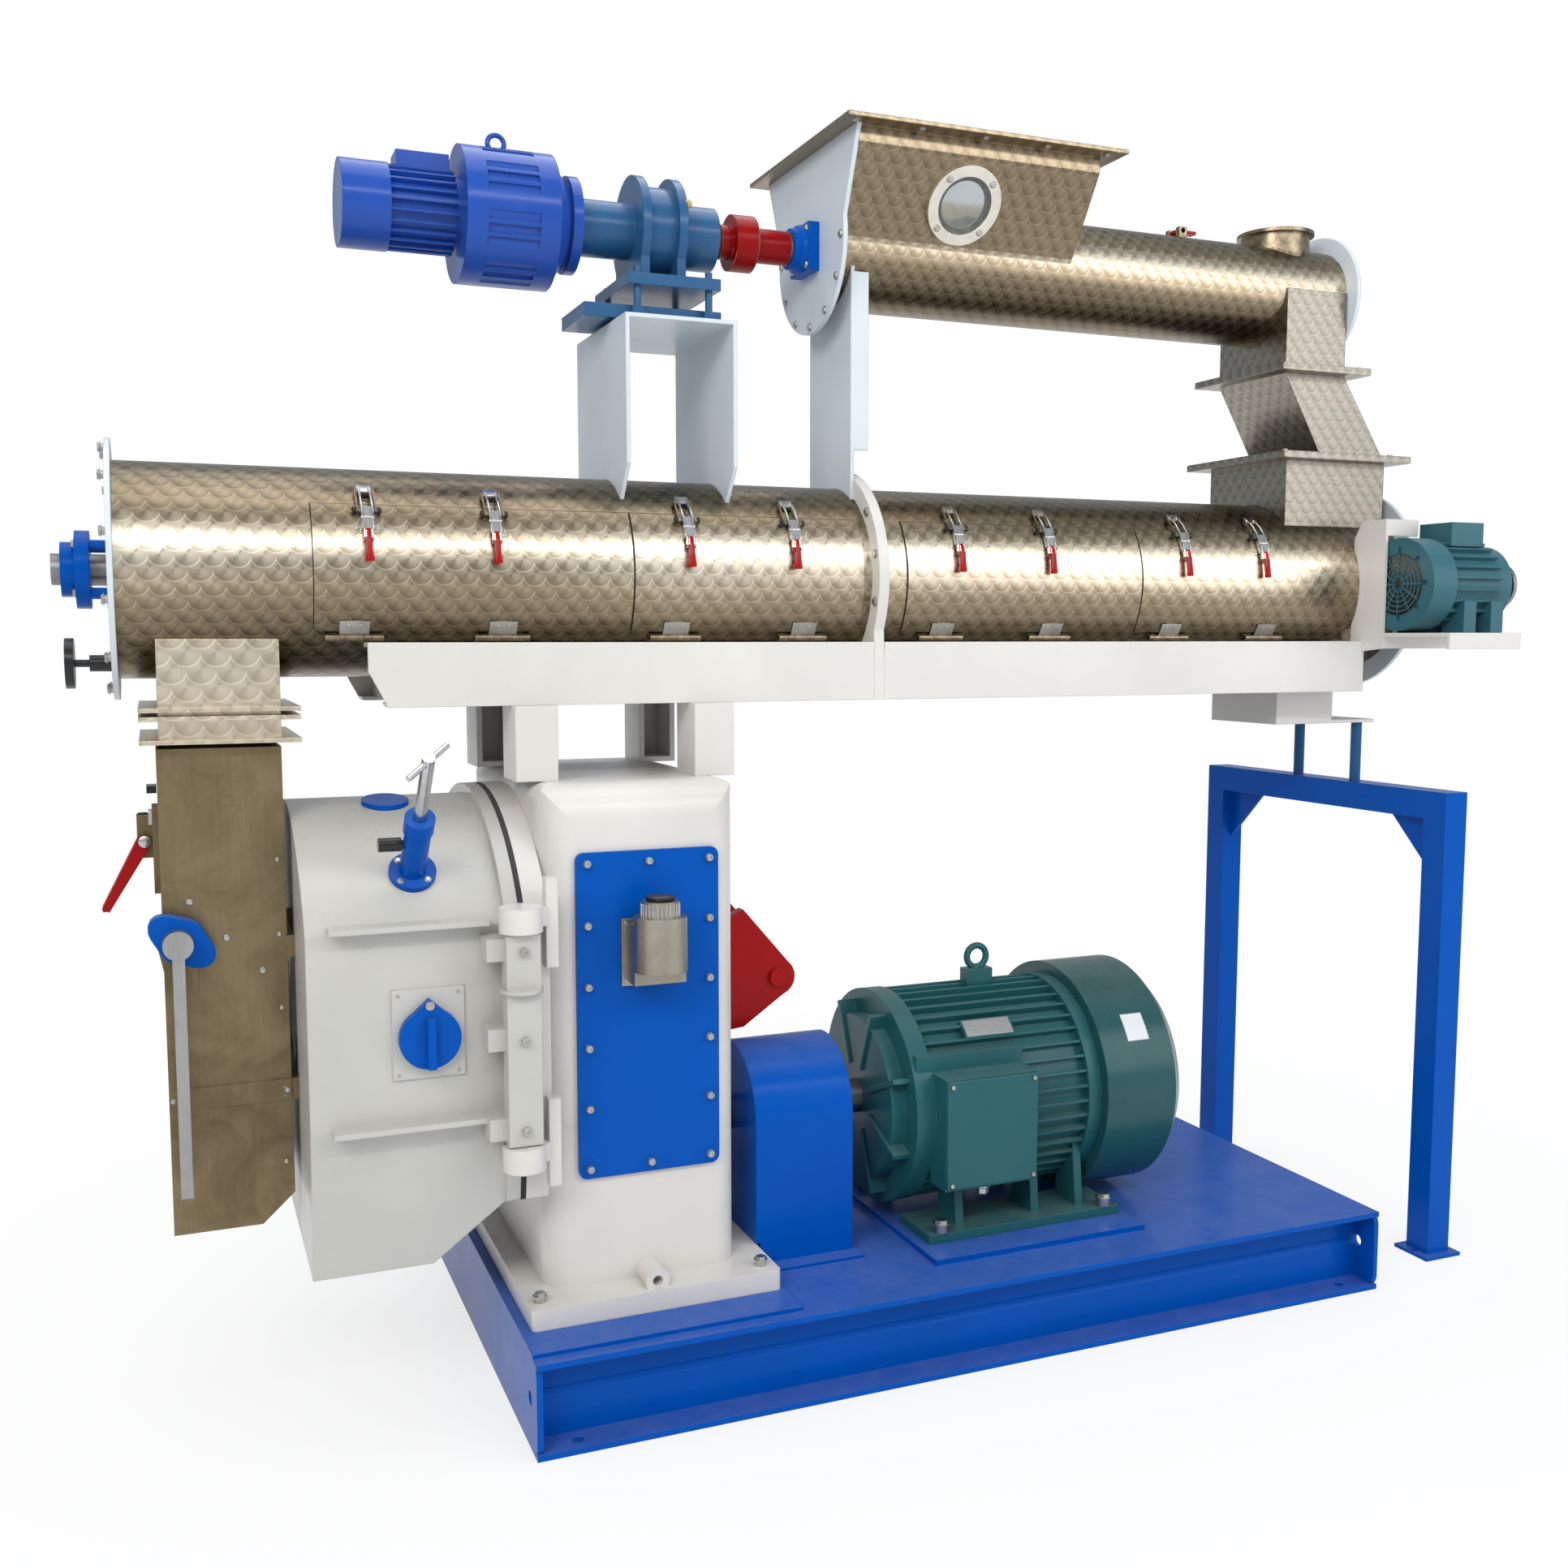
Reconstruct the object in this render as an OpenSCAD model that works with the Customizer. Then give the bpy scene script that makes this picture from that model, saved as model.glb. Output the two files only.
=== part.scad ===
// Ring-die feed pellet mill with a conditioner barrel on top and a screw feeder above it.
// Origin: centre of the base on the floor. X runs along the machine, -Y is the front.

/* [Base] */
// Length of the channel base
base_len = 2360; // [2300:10:2500]
// Width of the channel base
base_w = 1270; // [1230:10:1330]
// Height of the base channels
base_h = 220; // [200:5:240]
// Plate thickness of the base
base_t = 14; // [10:1:18]

/* [Gearbox] */
// Width of the gearbox column along the machine
col_w = 479; // [460:1:500]
// Depth of the gearbox column
col_d = 800; // [760:5:840]
// Height of the gearbox column
col_h = 1185; // [1150:5:1230]
// Height of the die axis above the foot of the column
die_rise = 615; // [605:1:625]
// Gear module
gear_m = 7; // [6.5:0.5:7]
// Teeth on the drive gear
gear_z = 80; // [76:2:80]
// Teeth on the motor pinion
pinion_z = 21; // [19:1:22]

/* [Door] */
// Radius of the arched door shell
door_r = 520; // [510:2:540]
// Half width of the door between its flat sides
door_half = 445; // [430:5:450]
// Depth of the door housing along the machine
door_dx = 457; // [430:1:480]
// Wall of the door housing
door_t = 10; // [6:1:14]
// Outer radius of the ring die
die_ro = 260; // [250:1:270]
// Inner radius of the ring die
die_ri = 210; // [205:1:215]
// Radius of a press roller
roller_r = 92; // [85:1:94]

/* [Conditioner] */
// Outer radius of the conditioner barrel
barrel_r = 244; // [235:1:255]
// Length of the conditioner barrel
barrel_len = 3532; // [3480:10:3600]
// Wall of the conditioner barrel
barrel_t = 6; // [4:0.5:8]
// Height of the support beams
beam_h = 147; // [130:1:160]
// Half width over the two support beams
beam_half = 262; // [255:1:270]
// Height of the barrel axis above the underside of the beams
barrel_rise = 309; // [300:1:330]
// Height of the supports on the gearbox
support_h = 176; // [160:1:200]

/* [Feeder] */
// Outer radius of the feeder tube
feed_r = 144; // [138:1:150]
// Height of the feeder axis above the barrel axis
feed_rise = 857; // [840:1:880]
// Half width of the hopper mouth
hopper_half = 277; // [260:1:300]
// Length of the hopper mouth
hopper_len = 695; // [660:5:720]

/* [Portal] */
// Width of the portal legs
leg_w = 80; // [70:1:90]
// Distance from the middle to a portal leg
leg_half = 486; // [460:1:500]
// Height of the portal
portal_h = 1360; // [1330:5:1390]

/* [Hidden] */
$fn = 64;
over = 4;
fit = 0.1;
gap = 0.5;

// Base
base_x0 = -base_len / 2;
base_x1 = base_len / 2;
base_y = base_w / 2;
base_recess = 77;
base_ribs = 5;
anchor_in = 100;
anchor_y_by = 38;
anchor_y = base_y - anchor_y_by;
anchor_r = 13;
lug_r = 16;
lug_z = 118;
lug_in = 65;
pad_t = 10;
pad_side = 600;

// Gearbox column
col_inset = 322.5;
col_x = base_x0 + col_inset;
col_x0 = col_x - col_w / 2;
col_x1 = col_x + col_w / 2;
col_y = col_d / 2;
foot_t = 50;
foot_side = 58;
foot_front = 94;
foot_right = 73;
col_z0 = base_h + pad_t + foot_t;
col_z1 = col_z0 + col_h;
die_z = col_z0 + die_rise;
col_r = 70;
col_top_r = 80;
col_wall = 20;
boss = 40;
drain_x_by = 6;
drain_x = col_x + drain_x_by;
drain_z_by = 15;
drain_z = col_z0 + drain_z_by;
drain_r = 30;
drain_hole_r = 12;
drain_len = 75;
shaft_r = 70;
quill_r = 118;
mesh_d = gear_m * (gear_z + pinion_z) / 2;
motor_y = -100;
motor_z = die_z - sqrt(mesh_d * mesh_d - motor_y * motor_y);
gear_x0_by = 150;
gear_x0 = col_x0 + gear_x0_by;
gear_x1_by = 110;
gear_x1 = gear_x0 + gear_x1_by;
pin_r = 45;
gear_hole_r = 40;
gear_holes = 6;
gear_press = 20;
cover_x_by = 10.5;
cover_x = col_x + cover_x_by;
cover_half = 173;
cover_z0_by = 260;
cover_z0 = col_z0 + cover_z0_by;
cover_z1_by = 1028;
cover_z1 = col_z0 + cover_z1_by;
cover_t = 12;
cover_r = 20;
cover_in = 25;
cover_rows = 5;
end_bolts = 12;
feed_bolts = 8;
bolt_r = 9;
bolt_h = 7;

// Oil filler
oil_x_by = 14.5;
oil_x = col_x + oil_x_by;
oil_half = 73;
oil_z0_by = 713;
oil_z0 = col_z0 + oil_z0_by;
oil_z1_by = 871;
oil_z1 = col_z0 + oil_z1_by;
oil_neck_r = 62;
oil_reach = 88;
oil_cap_r = 44;
oil_cap_z1_by = 50;
oil_cap_z1 = oil_z1 + oil_cap_z1_by;

// Die casing, gasket and door
case_dx = 53;
case_x0 = col_x0 - case_dx;
case_grow = 25;
gasket_t = 12;
door_x1 = case_x0 - gasket_t - gap;
door_x0 = door_x1 - door_dx;
door_low = 505;
door_taper_z = 160;
door_foot_half = 400;
rim_t = 32;
rim_grow = 24;
cham_z = 129;
cham_x = 172;
lip_y = 45;
lip_t = 13;
lip_z1_by = 275;
lip_z1 = die_z + lip_z1_by;
lip_z0_by = 168;
lip_z0 = die_z - lip_z0_by;
hinge_x_by = 10;
hinge_x = door_x1 - hinge_x_by;
hinge_y_by = 75;
hinge_y = -door_half - hinge_y_by;
post_w = 76;
post_d = 50;
post_z0_by = 212;
post_z0 = die_z - post_z0_by;
post_z1_by = 260;
post_z1 = die_z + post_z1_by;
post_pin_r = 15;
pin_in = 50;
knuckle_r = 48;
knuckle_h = 56;
knuckle_gap = 3;
hinge_arm = 40;
ring_z = 130;
tab_z0_by = 10;
tab_z0 = post_z0 + tab_z0_by;
tab_z1_by = 60;
tab_z1 = post_z1 - tab_z1_by;
tab_h = 50;
cap_z0_by = 36;
cap_z0 = post_z0 + cap_z0_by;
cap_z_by = 25;
cap_z = die_z + cap_z_by;
cap_z1_by = 36;
cap_z1 = post_z1 - cap_z1_by;
cap_r = 12;
foot_cut_in = 204;
inlet_r = 130;
knob_x_by = 255;
knob_x = door_x0 + knob_x_by;
knob_z_by = 31;
knob_z = die_z + knob_z_by;
knob_r = 67;
knob_tip = 88;
knob_plate = 79;
knob_low = 61;
knob_high = 140;

// Cutter on the arch
cut_a = 47;
cut_x_by = 241;
cut_x = door_x0 + cut_x_by;
cut_flange_r = 52;
cut_post_r = 29;
cut_post_len = 190;
cut_rod_r = 14;
cut_rod_len = 380;
cut_bar = 130;
cut_turn = 45;
cut_lock_at = 105;
cut_lock_len = 62;
cut2_a = 80;
cut2_in = 20;
cut2_x = cut_x - cut2_in;

// Ring die set
die_x0_by = 227;
die_x0 = door_x1 - die_x0_by;
die_x1_by = 42;
die_x1 = door_x1 - die_x1_by;
die_hole_r = 7;
die_hole_count = 24;
disc_t = 22;
quill_x1 = col_x1 - col_wall - over;
roller_off = 112;
roller_x0_by = 30;
roller_x0 = die_x0 + roller_x0_by;
roller_x1_by = 12;
roller_x1 = die_x1 - roller_x1_by;
stub_r = 30;
roller_ribs = 30;

// Shear pin bracket
shear_x_by = 237;
shear_x = col_x1 + shear_x_by;
shear_t = 34;
shear_r = 50;
shear_hub_r = 140;
shear_hub_t = 30;

// Guard and main motor
guard_x0_by = 72;
guard_x0 = col_x1 + guard_x0_by;
guard_x1_by = 266;
guard_x1 = guard_x0 + guard_x1_by;
guard_r = 178;
guard_y_by = 50;
guard_y = motor_y - guard_y_by;
guard_z_by = 24;
guard_z = motor_z + guard_z_by;
guard_t = 8;
hub_in = 50;
hub_x0 = guard_x0 + hub_in;
hub_len = 70;
mm_x0_by = 115;
mm_x0 = guard_x1 + mm_x0_by;
mm_bell = 80;
mm_body_r = 262;
mm_fin_r = 284;
mm_x1_by = 600;
mm_x1 = mm_x0 + mm_x1_by;
cowl_x1_by = 259;
cowl_x1 = mm_x1 + cowl_x1_by;
cowl_r = 318;
fin_t = 7;
fin_count = 44;
grille_rows = 4;
grille_count = 12;
grille_share = 1.3;
grille_in_share = 1.4;
grille_out_share = 2.2;
mfoot_half = 300;
mfoot_x0_by = 71;
mfoot_x0 = mm_x0 + mfoot_x0_by;
mfoot_x1_by = 650;
mfoot_x1 = mm_x0 + mfoot_x1_by;
mpad_t = 15;
mfoot_t = 24;
rib_in = 100;
rib_mid = 330;
rib_out = 110;
eye_x0 = mm_x0 + rib_mid;
eye_dx = 80;
bell_webs = 8;
bell_turn = 22;
mbox_x0_by = 95;
mbox_x0 = mm_x0 + mbox_x0_by;
mbox_x1_by = 365;
mbox_x1 = mm_x0 + mbox_x1_by;
mbox_y = 340;
mbox_z0_by = 171;
mbox_z0 = motor_z - mbox_z0_by;
mbox_z1_by = 121;
mbox_z1 = motor_z + mbox_z1_by;

// Conditioner
barrel_over = 869;
barrel_x0 = col_x0 - barrel_over;
barrel_x1 = barrel_x0 + barrel_len;
beam_z0 = col_z1 + support_h;
beam_z1 = beam_z0 + beam_h;
cond_z = beam_z0 + barrel_rise;
mid_share = 0.5057;
mid_x = barrel_x0 + mid_share * barrel_len;
flange_t = 14;
flange_grow = 45;
beam_in = 75;
beam_t = 10;
beam_x0_by = 516;
beam_x0 = barrel_x0 + beam_x0_by;
beam_x1_by = 173;
beam_x1 = barrel_x1 - beam_x1_by;
door_start_shares = [0.1150, 0.3242, 0.5306, 0.7353];
door_end_shares = [0.3230, 0.4957, 0.7342, 0.9397];
hinge_shares = [[0.1399, 0.2354], [0.3559, 0.4519], [0.5637, 0.6580], [0.7684, 0.8621]];
latch_shares = [0.1489, 0.2302, 0.3635, 0.4420, 0.5736, 0.6515, 0.7760, 0.8519];
dhinge_a = -36.5;
dhinge_r_by = 10;
dhinge_r = barrel_r + dhinge_r_by;
dhinge_len = 130;
dhinge_k = 8;
dhinge_pin = 4;
pan_t = 4;
pan_a0 = -33.5;
pan_a1 = 36.5;
cut_a0 = -31;
cut_a1 = 34;
latch_a = 31;
latch_off = 14;
latch_w = 28;
leaf_low = 4;
leaf_high = 1;
leaf_a0 = dhinge_a + 1.2;
leaf_a1 = dhinge_a + 10;
keep_a0 = 40;
keep_a1 = 46;
latch_pad_a0 = latch_a - 12;
latch_pad_a1 = latch_a + 4;
bail_angles = [31, 36, 41, 46];
bail_bar_angles = [43, 45.5];
lever_angles = [32, 26, 20, 14];
grip_angles = [19, 13, 6];
end_t = 12;
left_grow = 48;
right_grow = 56;
rotor_r = 35;
paddle_count = 24;
paddle_turn = 35;
paddle_share = 1.5;
paddle_gap = 14;
paddle_r = barrel_r - barrel_t - paddle_gap;
stand_len = 39;
bearing_t = 30;
bearing_r = 87;
bearing2_r = 61;
wheel_drop = 207;
wheel_out = 93;
wheel_t = 18;
wheel_r = 55;
wheel_y = -120;
shaft_end = 119;
pulley_x0_by = 176;
pulley_x0 = barrel_x1 + pulley_x0_by;
pulley_w = 48;
pulley_r = 140;
mpulley_r = 66;
mix_y = -385;
mix_r = 112;
mix_cowl_r = 132;
mix_x0 = beam_x1 + beam_t + over;
mix_cowl = 87;
mix_x1_by = 22;
mix_x1 = pulley_x0 - mix_x1_by;
ledge_z_by = 138;
ledge_z = cond_z - ledge_z_by;
ledge_t = 12;
ledge_deep = 250;
ledge_lip = 10;
stay_z = 140;
stay_dx = 120;
mix_fins = 24;
mix_turn = 7.5;
mix_slots = 8;
mix_slot_turn = 22;
slot_step_share = 0.7;
slot_in_share = 0.8;
slot_out_share = 1.2;
br_y = -343;
stud_x0_by = 382;
stud_x0 = barrel_x1 - stud_x0_by;
stud_x1_by = 10;
stud_x1 = barrel_x1 - stud_x1_by;
stud_half = 150;
stud_drop = 100;
leg_x_by = 53;
leg_x = barrel_x1 - leg_x_by;
stud_r = 16;
stud_y = 125;
support_dx = 100;
support_in = 161;
support_out = 297;
support_x0 = 31;
support_x1 = 73;

// Inlet and feeder
in_x0_by = 392;
in_x0 = barrel_x1 - in_x0_by;
in_x1_by = 27;
in_x1 = barrel_x1 - in_x1_by;
in_y = 172;
in_z1_by = 364;
in_z1 = cond_z + in_z1_by;
fl_t = 10;
fl_grow = 52;
sheet_t = 5;
feed_z = cond_z + feed_rise;
duct_w = 216;
duct_in = 142;
duct_w2 = 236;
duct_y = 150;
duct_z1_by = 251;
duct_z1 = in_z1 + duct_z1_by;
feed_x0_by = 70;
feed_x0 = mid_x - feed_x0_by;
feed_x1_by = 166;
feed_x1 = barrel_x1 - feed_x1_by;
hop_x0 = feed_x0;
hop_z1_by = 243;
hop_z1 = feed_z + hop_z1_by;
hop_fl = 53;
hasp_in = 505;
hasp_x = feed_x1 - hasp_in;
screw_r = feed_r - 2 * sheet_t;
screw_shaft_r = 38;
screw_pitch = 180;
screw_steps = 18;
spout_x_by = 148;
spout_x = feed_x1 - spout_x_by;
spout_r = 98;
spout_z1_by = 186;
spout_z1 = feed_z + spout_z1_by;
sight_x_by = 325;
sight_x = hop_x0 + sight_x_by;
sight_ro = 102;
sight_ri = 74;
sight_t = 14;
post_x1 = mid_x - flange_t;
post_half = 132;
couple_x1_by = 80;
couple_x1 = feed_x0 - couple_x1_by;
couple_x0_by = 190;
couple_x0 = couple_x1 - couple_x0_by;
couple_r = 43;
couple_in = 30;
couple_grow = 27;
red_x1_by = 20;
red_x1 = couple_x0 - red_x1_by;
red_x0_by = 325;
red_x0 = red_x1 - red_x0_by;
clutch_x1_by = 60;
clutch_x1 = red_x0 - clutch_x1_by;
clutch_x0_by = 262;
clutch_x0 = clutch_x1 - clutch_x0_by;
fmot_x0_by = 273;
fmot_x0 = clutch_x0 - fmot_x0_by;
fmot_cap = 110;
fmot_cap_r = 100;
fmot_r = 82;
fmot_fin_r = 97;
fmot_fins = 24;
clutch_cone = 40;
clutch_r = 159;
clutch_lip_r = 115;
slot_in = 50;
slot_pitch = 30;
slot_w = 20;
neck_t = 25;
neck_x0 = clutch_x1 + neck_t;
eye2_in = 100;
eye2_x = clutch_x0 + eye2_in;
eye2_rise = 16;
eye2_r = 20;
eye2_wire = 6;
fbox_in = 130;
fbox_half = 40;
fbox_low = 75;
fbox_top = 125;
red_case_in = 107;
red_case_dx = 93;
red_case_r = 112;
red_neck_r = 68;
red_nose_r = 78;
red_lip_t = 22;
red_lip_r = 135;
red_plate_z = 84;
red_plate_t = 28;
red_plate_in = 30;
red_half = 150;
red_leg_half = 110;
red_slab_out = 69;
red_slab_z = 8;
red_slab_t = 33;
red_stud_in = 58;
red_stud_y = 130;
red_bore = 60;
bracket_x0_by = 32;
bracket_x0 = red_x0 + bracket_x0_by;
bracket_x1_by = 11;
bracket_x1 = red_x1 - bracket_x1_by;
bracket_half = 223;
bracket_z1_by = 241;
bracket_z1 = feed_z - bracket_z1_by;

// Outlet and chute
out_x0_by = 76;
out_x0 = barrel_x0 + out_x0_by;
out_x1_by = 256;
out_x1 = out_x0 + out_x1_by;
out_y = 190;
out_fl = 40;
out_drop = 69;
out_step = 18;
rib_low = 152;
rib_high = 180;
rib_w = 50;
flap_leaf = 480;
flap_hole = 500;
brace_z = 120;
clamp_up = 440;
clamp_z = die_z + clamp_up;
clamp_low = 120;
clamp_high = 80;
chute_gap = 16;
chute_x1 = door_x0 - chute_gap;
chute_x0_by = 262;
chute_x0 = chute_x1 - chute_x0_by;
chute_z1_by = 85;
chute_z1 = beam_z0 - chute_z1_by;
chute_z0_by = 437;
chute_z0 = die_z - chute_z0_by;
chute_cham_x = 72;
chute_cham_z = 67;
lever_x_by = 30;
lever_x = chute_x0 + lever_x_by;
lever_z_by = 239;
lever_z = die_z + lever_z_by;
lever_len = 565;

module blk(a, b) { translate(a) cube(b - a); }
module xbar(x0, x1, r, y, z) { translate([x0, y, z]) rotate([0, 90, 0]) cylinder(h = x1 - x0, r = r); }
module ybar(y0, y1, r, x, z) { translate([x, y1, z]) rotate([90, 0, 0]) cylinder(h = y1 - y0, r = r); }
module zbar(z0, z1, r, x, y) { translate([x, y, z0]) cylinder(h = z1 - z0, r = r); }
module xsheet(x0, x1) { translate([x0, 0, 0]) rotate([90, 0, 90]) linear_extrude(x1 - x0) children(); }
module ysheet(y0, y1) { translate([0, y1, 0]) rotate([90, 0, 0]) linear_extrude(y1 - y0) children(); }
module zsheet(z0, z1) { translate([0, 0, z0]) linear_extrude(z1 - z0) children(); }
module both() { for (s = [0, 1]) mirror([0, s, 0]) children(); }
module xtube(x0, x1, ro, ri, y, z) {
    difference() {
        xbar(x0, x1, ro, y, z);
        xbar(x0 - over, x1 + over, ri, y, z);
    }
}
module ring_bolts(x0, x1, pr, n, y, z, r, turn = 0) {
    for (i = [0:n - 1]) {
        a = turn + i * 360 / n;
        xbar(x0, x1, r, y + pr * cos(a), z + pr * sin(a));
    }
}
module round_rect(a, b, r) {
    translate([a.x + r, a.y]) square([b.x - a.x - 2 * r, b.y - a.y]);
    translate([a.x, a.y + r]) square([b.x - a.x, b.y - a.y - 2 * r]);
    for (x = [a.x + r, b.x - r], y = [a.y + r, b.y - r]) translate([x, y]) circle(r);
}
// Part of a ring about the X axis, with angles counted upward from the front
module arc_shell(x0, x1, r0, r1, a0, a1, z) {
    translate([0, 0, z]) rotate([180, 0, 0]) rotate([90, 0, 90]) rotate([0, 0, -a1])
        rotate_extrude(angle = a1 - a0) translate([r0, x0]) square([r1 - r0, x1 - x0]);
}
module on_barrel(a) { translate([0, 0, cond_z]) rotate([90 - a, 0, 0]) children(); }
function on_arc(r, a, z) = [-r * cos(a), z + r * sin(a)];
function tri_arc(r, a) = [r * cos(a), r * sin(a)];

module base_frame() {
    color("royalblue") difference() {
        union() {
            blk([base_x0, -base_y, base_h - base_t], [base_x1, base_y, base_h]);
            both() {
                blk([base_x0, -base_y, 0], [base_x1, -base_y + base_recess + base_t, base_t]);
                blk([base_x0, -base_y + base_recess, base_t],
                    [base_x1, -base_y + base_recess + base_t, base_h - base_t]);
                for (i = [1:base_ribs - 1]) {
                    x = base_x0 + i * base_len / base_ribs;
                    blk([x, -base_y + base_recess + base_t, base_t], [x + base_t, 0, base_h - base_t]);
                }
            }
            for (x = [base_x0, base_x1 - base_t])
                xsheet(x, x + base_t) round_rect([-base_y, 0], [base_y, base_h], base_recess / 2);
            blk([base_x0, -pad_side, base_h], [col_x1 + foot_right + pad_t, pad_side, base_h + pad_t]);
            blk([mfoot_x0 - pad_t * 3, motor_y - mfoot_half - foot_front, base_h],
                [mfoot_x1 + pad_t * 2, motor_y + mfoot_half + foot_front, base_h + mpad_t]);
        }
        for (x = [base_x0 + anchor_in, base_x1 - anchor_in], y = [-anchor_y, anchor_y])
            zbar(-over, base_t + over, anchor_r, x, y);
        for (y = [-base_y + lug_in, base_y - lug_in])
            xbar(base_x0 - over, base_x1 + over, lug_r, y, lug_z);
    }
}

module gearbox_form(i) {
    intersection() {
        zsheet(col_z0 + i, col_z1 - i)
            round_rect([col_x0 + i, -col_y + i], [col_x1 - i, col_y - i], col_r - i / 2);
        ysheet(-col_y, col_y) union() {
            translate([col_x0 + i, col_z0]) square([col_w - 2 * i, col_h / 2]);
            round_rect([col_x0 + i, col_z0], [col_x1 - i, col_z1 - i], col_top_r / 2);
        }
        xsheet(col_x0, col_x1) union() {
            translate([-col_y + i, col_z0]) square([col_d - 2 * i, col_h / 2]);
            round_rect([-col_y + i, col_z0], [col_y - i, col_z1 - i], col_top_r);
        }
    }
}

module gearbox_housing() {
    color("white") difference() {
        union() {
            difference() {
                union() {
                    gearbox_form(0);
                    zsheet(col_z0 - foot_t, col_z0) round_rect([col_x0 - foot_side, -col_y - foot_front],
                        [col_x1 + foot_right, col_y + foot_front], lip_t);
                    ybar(-col_y - drain_len, 0, drain_r, drain_x, drain_z);
                }
                gearbox_form(col_wall);
            }
            xbar(col_x0 + col_wall / 2, col_x0 + col_wall + boss, quill_r + boss, 0, die_z);
            xbar(col_x1 - col_wall - boss, col_x1 - col_wall / 2, quill_r + boss, 0, die_z);
            xbar(col_x0 + col_wall / 2, col_x0 + col_wall + boss, pin_r * 2, motor_y, motor_z);
            xbar(col_x1 - col_wall - boss, col_x1 - col_wall / 2, pin_r * 2, motor_y, motor_z);
        }
        xbar(col_x0 - over, quill_x1 + gap, quill_r + fit, 0, die_z);
        xbar(col_x0, col_x1 + over, shaft_r + fit, 0, die_z);
        xbar(col_x0 + col_wall, col_x1 + over, pin_r + fit, motor_y, motor_z);
        ybar(-col_y - drain_len - over, -col_y - drain_len / 2, drain_hole_r, drain_x, drain_z);
    }
}

module gearbox_cover() {
    color("royalblue") ysheet(-col_y - cover_t, -col_y)
        round_rect([cover_x - cover_half, cover_z0], [cover_x + cover_half, cover_z1], cover_r);
}

module fasteners() {
    color("silver") {
        for (i = [0:cover_rows], x = [-1, 0, 1]) {
            z = cover_z0 + cover_in + i * (cover_z1 - cover_z0 - 2 * cover_in) / cover_rows;
            if (i == 0 || i == cover_rows || x != 0)
                ybar(-col_y - cover_t - bolt_h, -col_y - cover_t, bolt_r,
                    cover_x + x * (cover_half - cover_in), z);
        }
        both() for (x = [col_x0 - foot_side / 2, col_x1 + foot_right / 2])
            zbar(col_z0, col_z0 + bolt_h * 2, bolt_r * 1.5, x, -col_y - foot_front / 2);
        both() zbar(portal_h, beam_z0 - stud_drop, stud_r, leg_x, -stud_y);
        translate([0, motor_y, 0]) both() for (x = [mfoot_x0 + boss, mfoot_x1 - boss])
            zbar(base_h + mpad_t + mfoot_t, base_h + mpad_t + mfoot_t * 2, bolt_r * 2, x,
                lip_t - mfoot_half);
        ring_bolts(barrel_x0 - end_t - bolt_h, barrel_x0 - end_t, barrel_r + left_grow - bolt_r * 2,
            end_bolts, 0, cond_z, bolt_r, 180 / end_bolts);
        ring_bolts(feed_x1 + end_t, feed_x1 + end_t + bolt_h, feed_r + flange_grow - bolt_r * 2,
            feed_bolts, 0, feed_z, bolt_r);
    }
}

module oil_filler() {
    y0 = -col_y;
    color("silver") difference() {
        union() {
            blk([oil_x - oil_half, y0 - cover_t - pad_t, oil_z0], [oil_x + oil_half, y0 - cover_t, oil_z1]);
            zbar(oil_z0 + lip_y, oil_cap_z1 - boss + over, oil_neck_r, oil_x, y0 - oil_reach);
            blk([oil_x - oil_neck_r, y0 - oil_reach, oil_z0 + lip_t], [oil_x + oil_neck_r,
                y0 - cover_t - over, oil_z1 - lip_t]);
            zbar(oil_cap_z1 - boss, oil_cap_z1, oil_cap_r, oil_x, y0 - oil_reach);
            zbar(oil_cap_z1, oil_cap_z1 + bolt_h, oil_cap_r / 2, oil_x, y0 - oil_reach);
        }
        ysheet(y0 - oil_reach * 2, y0 - oil_reach) polygon([[oil_x - oil_half, oil_z0 - over],
            [oil_x + oil_half, oil_z0 - over],
            [oil_x + oil_half, oil_z0 + lip_y], [oil_x - oil_half, oil_z0 + lip_y]]);
    }
}

module shear_pin_bracket() {
    color("red") difference() {
        union() {
            xbar(col_x1, col_x1 + shear_hub_t, shear_hub_r, 0, die_z);
            for (y = [-shear_t - shear_hub_t, shear_hub_t]) ysheet(y, y + shear_t) difference() {
                union() {
                    polygon([[col_x1 + shear_hub_t / 2, die_z + shear_hub_r],
                        [col_x1 + shear_hub_r, die_z + shear_hub_r * 1.35],
                        [shear_x + shear_r * 0.7, die_z + shear_r * 0.7],
                        [shear_x + shear_r * 0.7, die_z - shear_r * 0.7],
                        [col_x1 + shear_hub_r, die_z - shear_hub_r * 0.9],
                        [col_x1 + shear_hub_t / 2, die_z - shear_hub_r]]);
                    translate([shear_x, die_z]) circle(shear_r);
                }
            }
            ybar(-shear_t - shear_hub_t * 1.4, shear_t + shear_hub_t * 1.4, shear_r * 0.5, shear_x, die_z);
        }
        xbar(col_x1 - over, col_x1 + shear_hub_t + over, shaft_r + fit, 0, die_z);
    }
}

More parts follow.
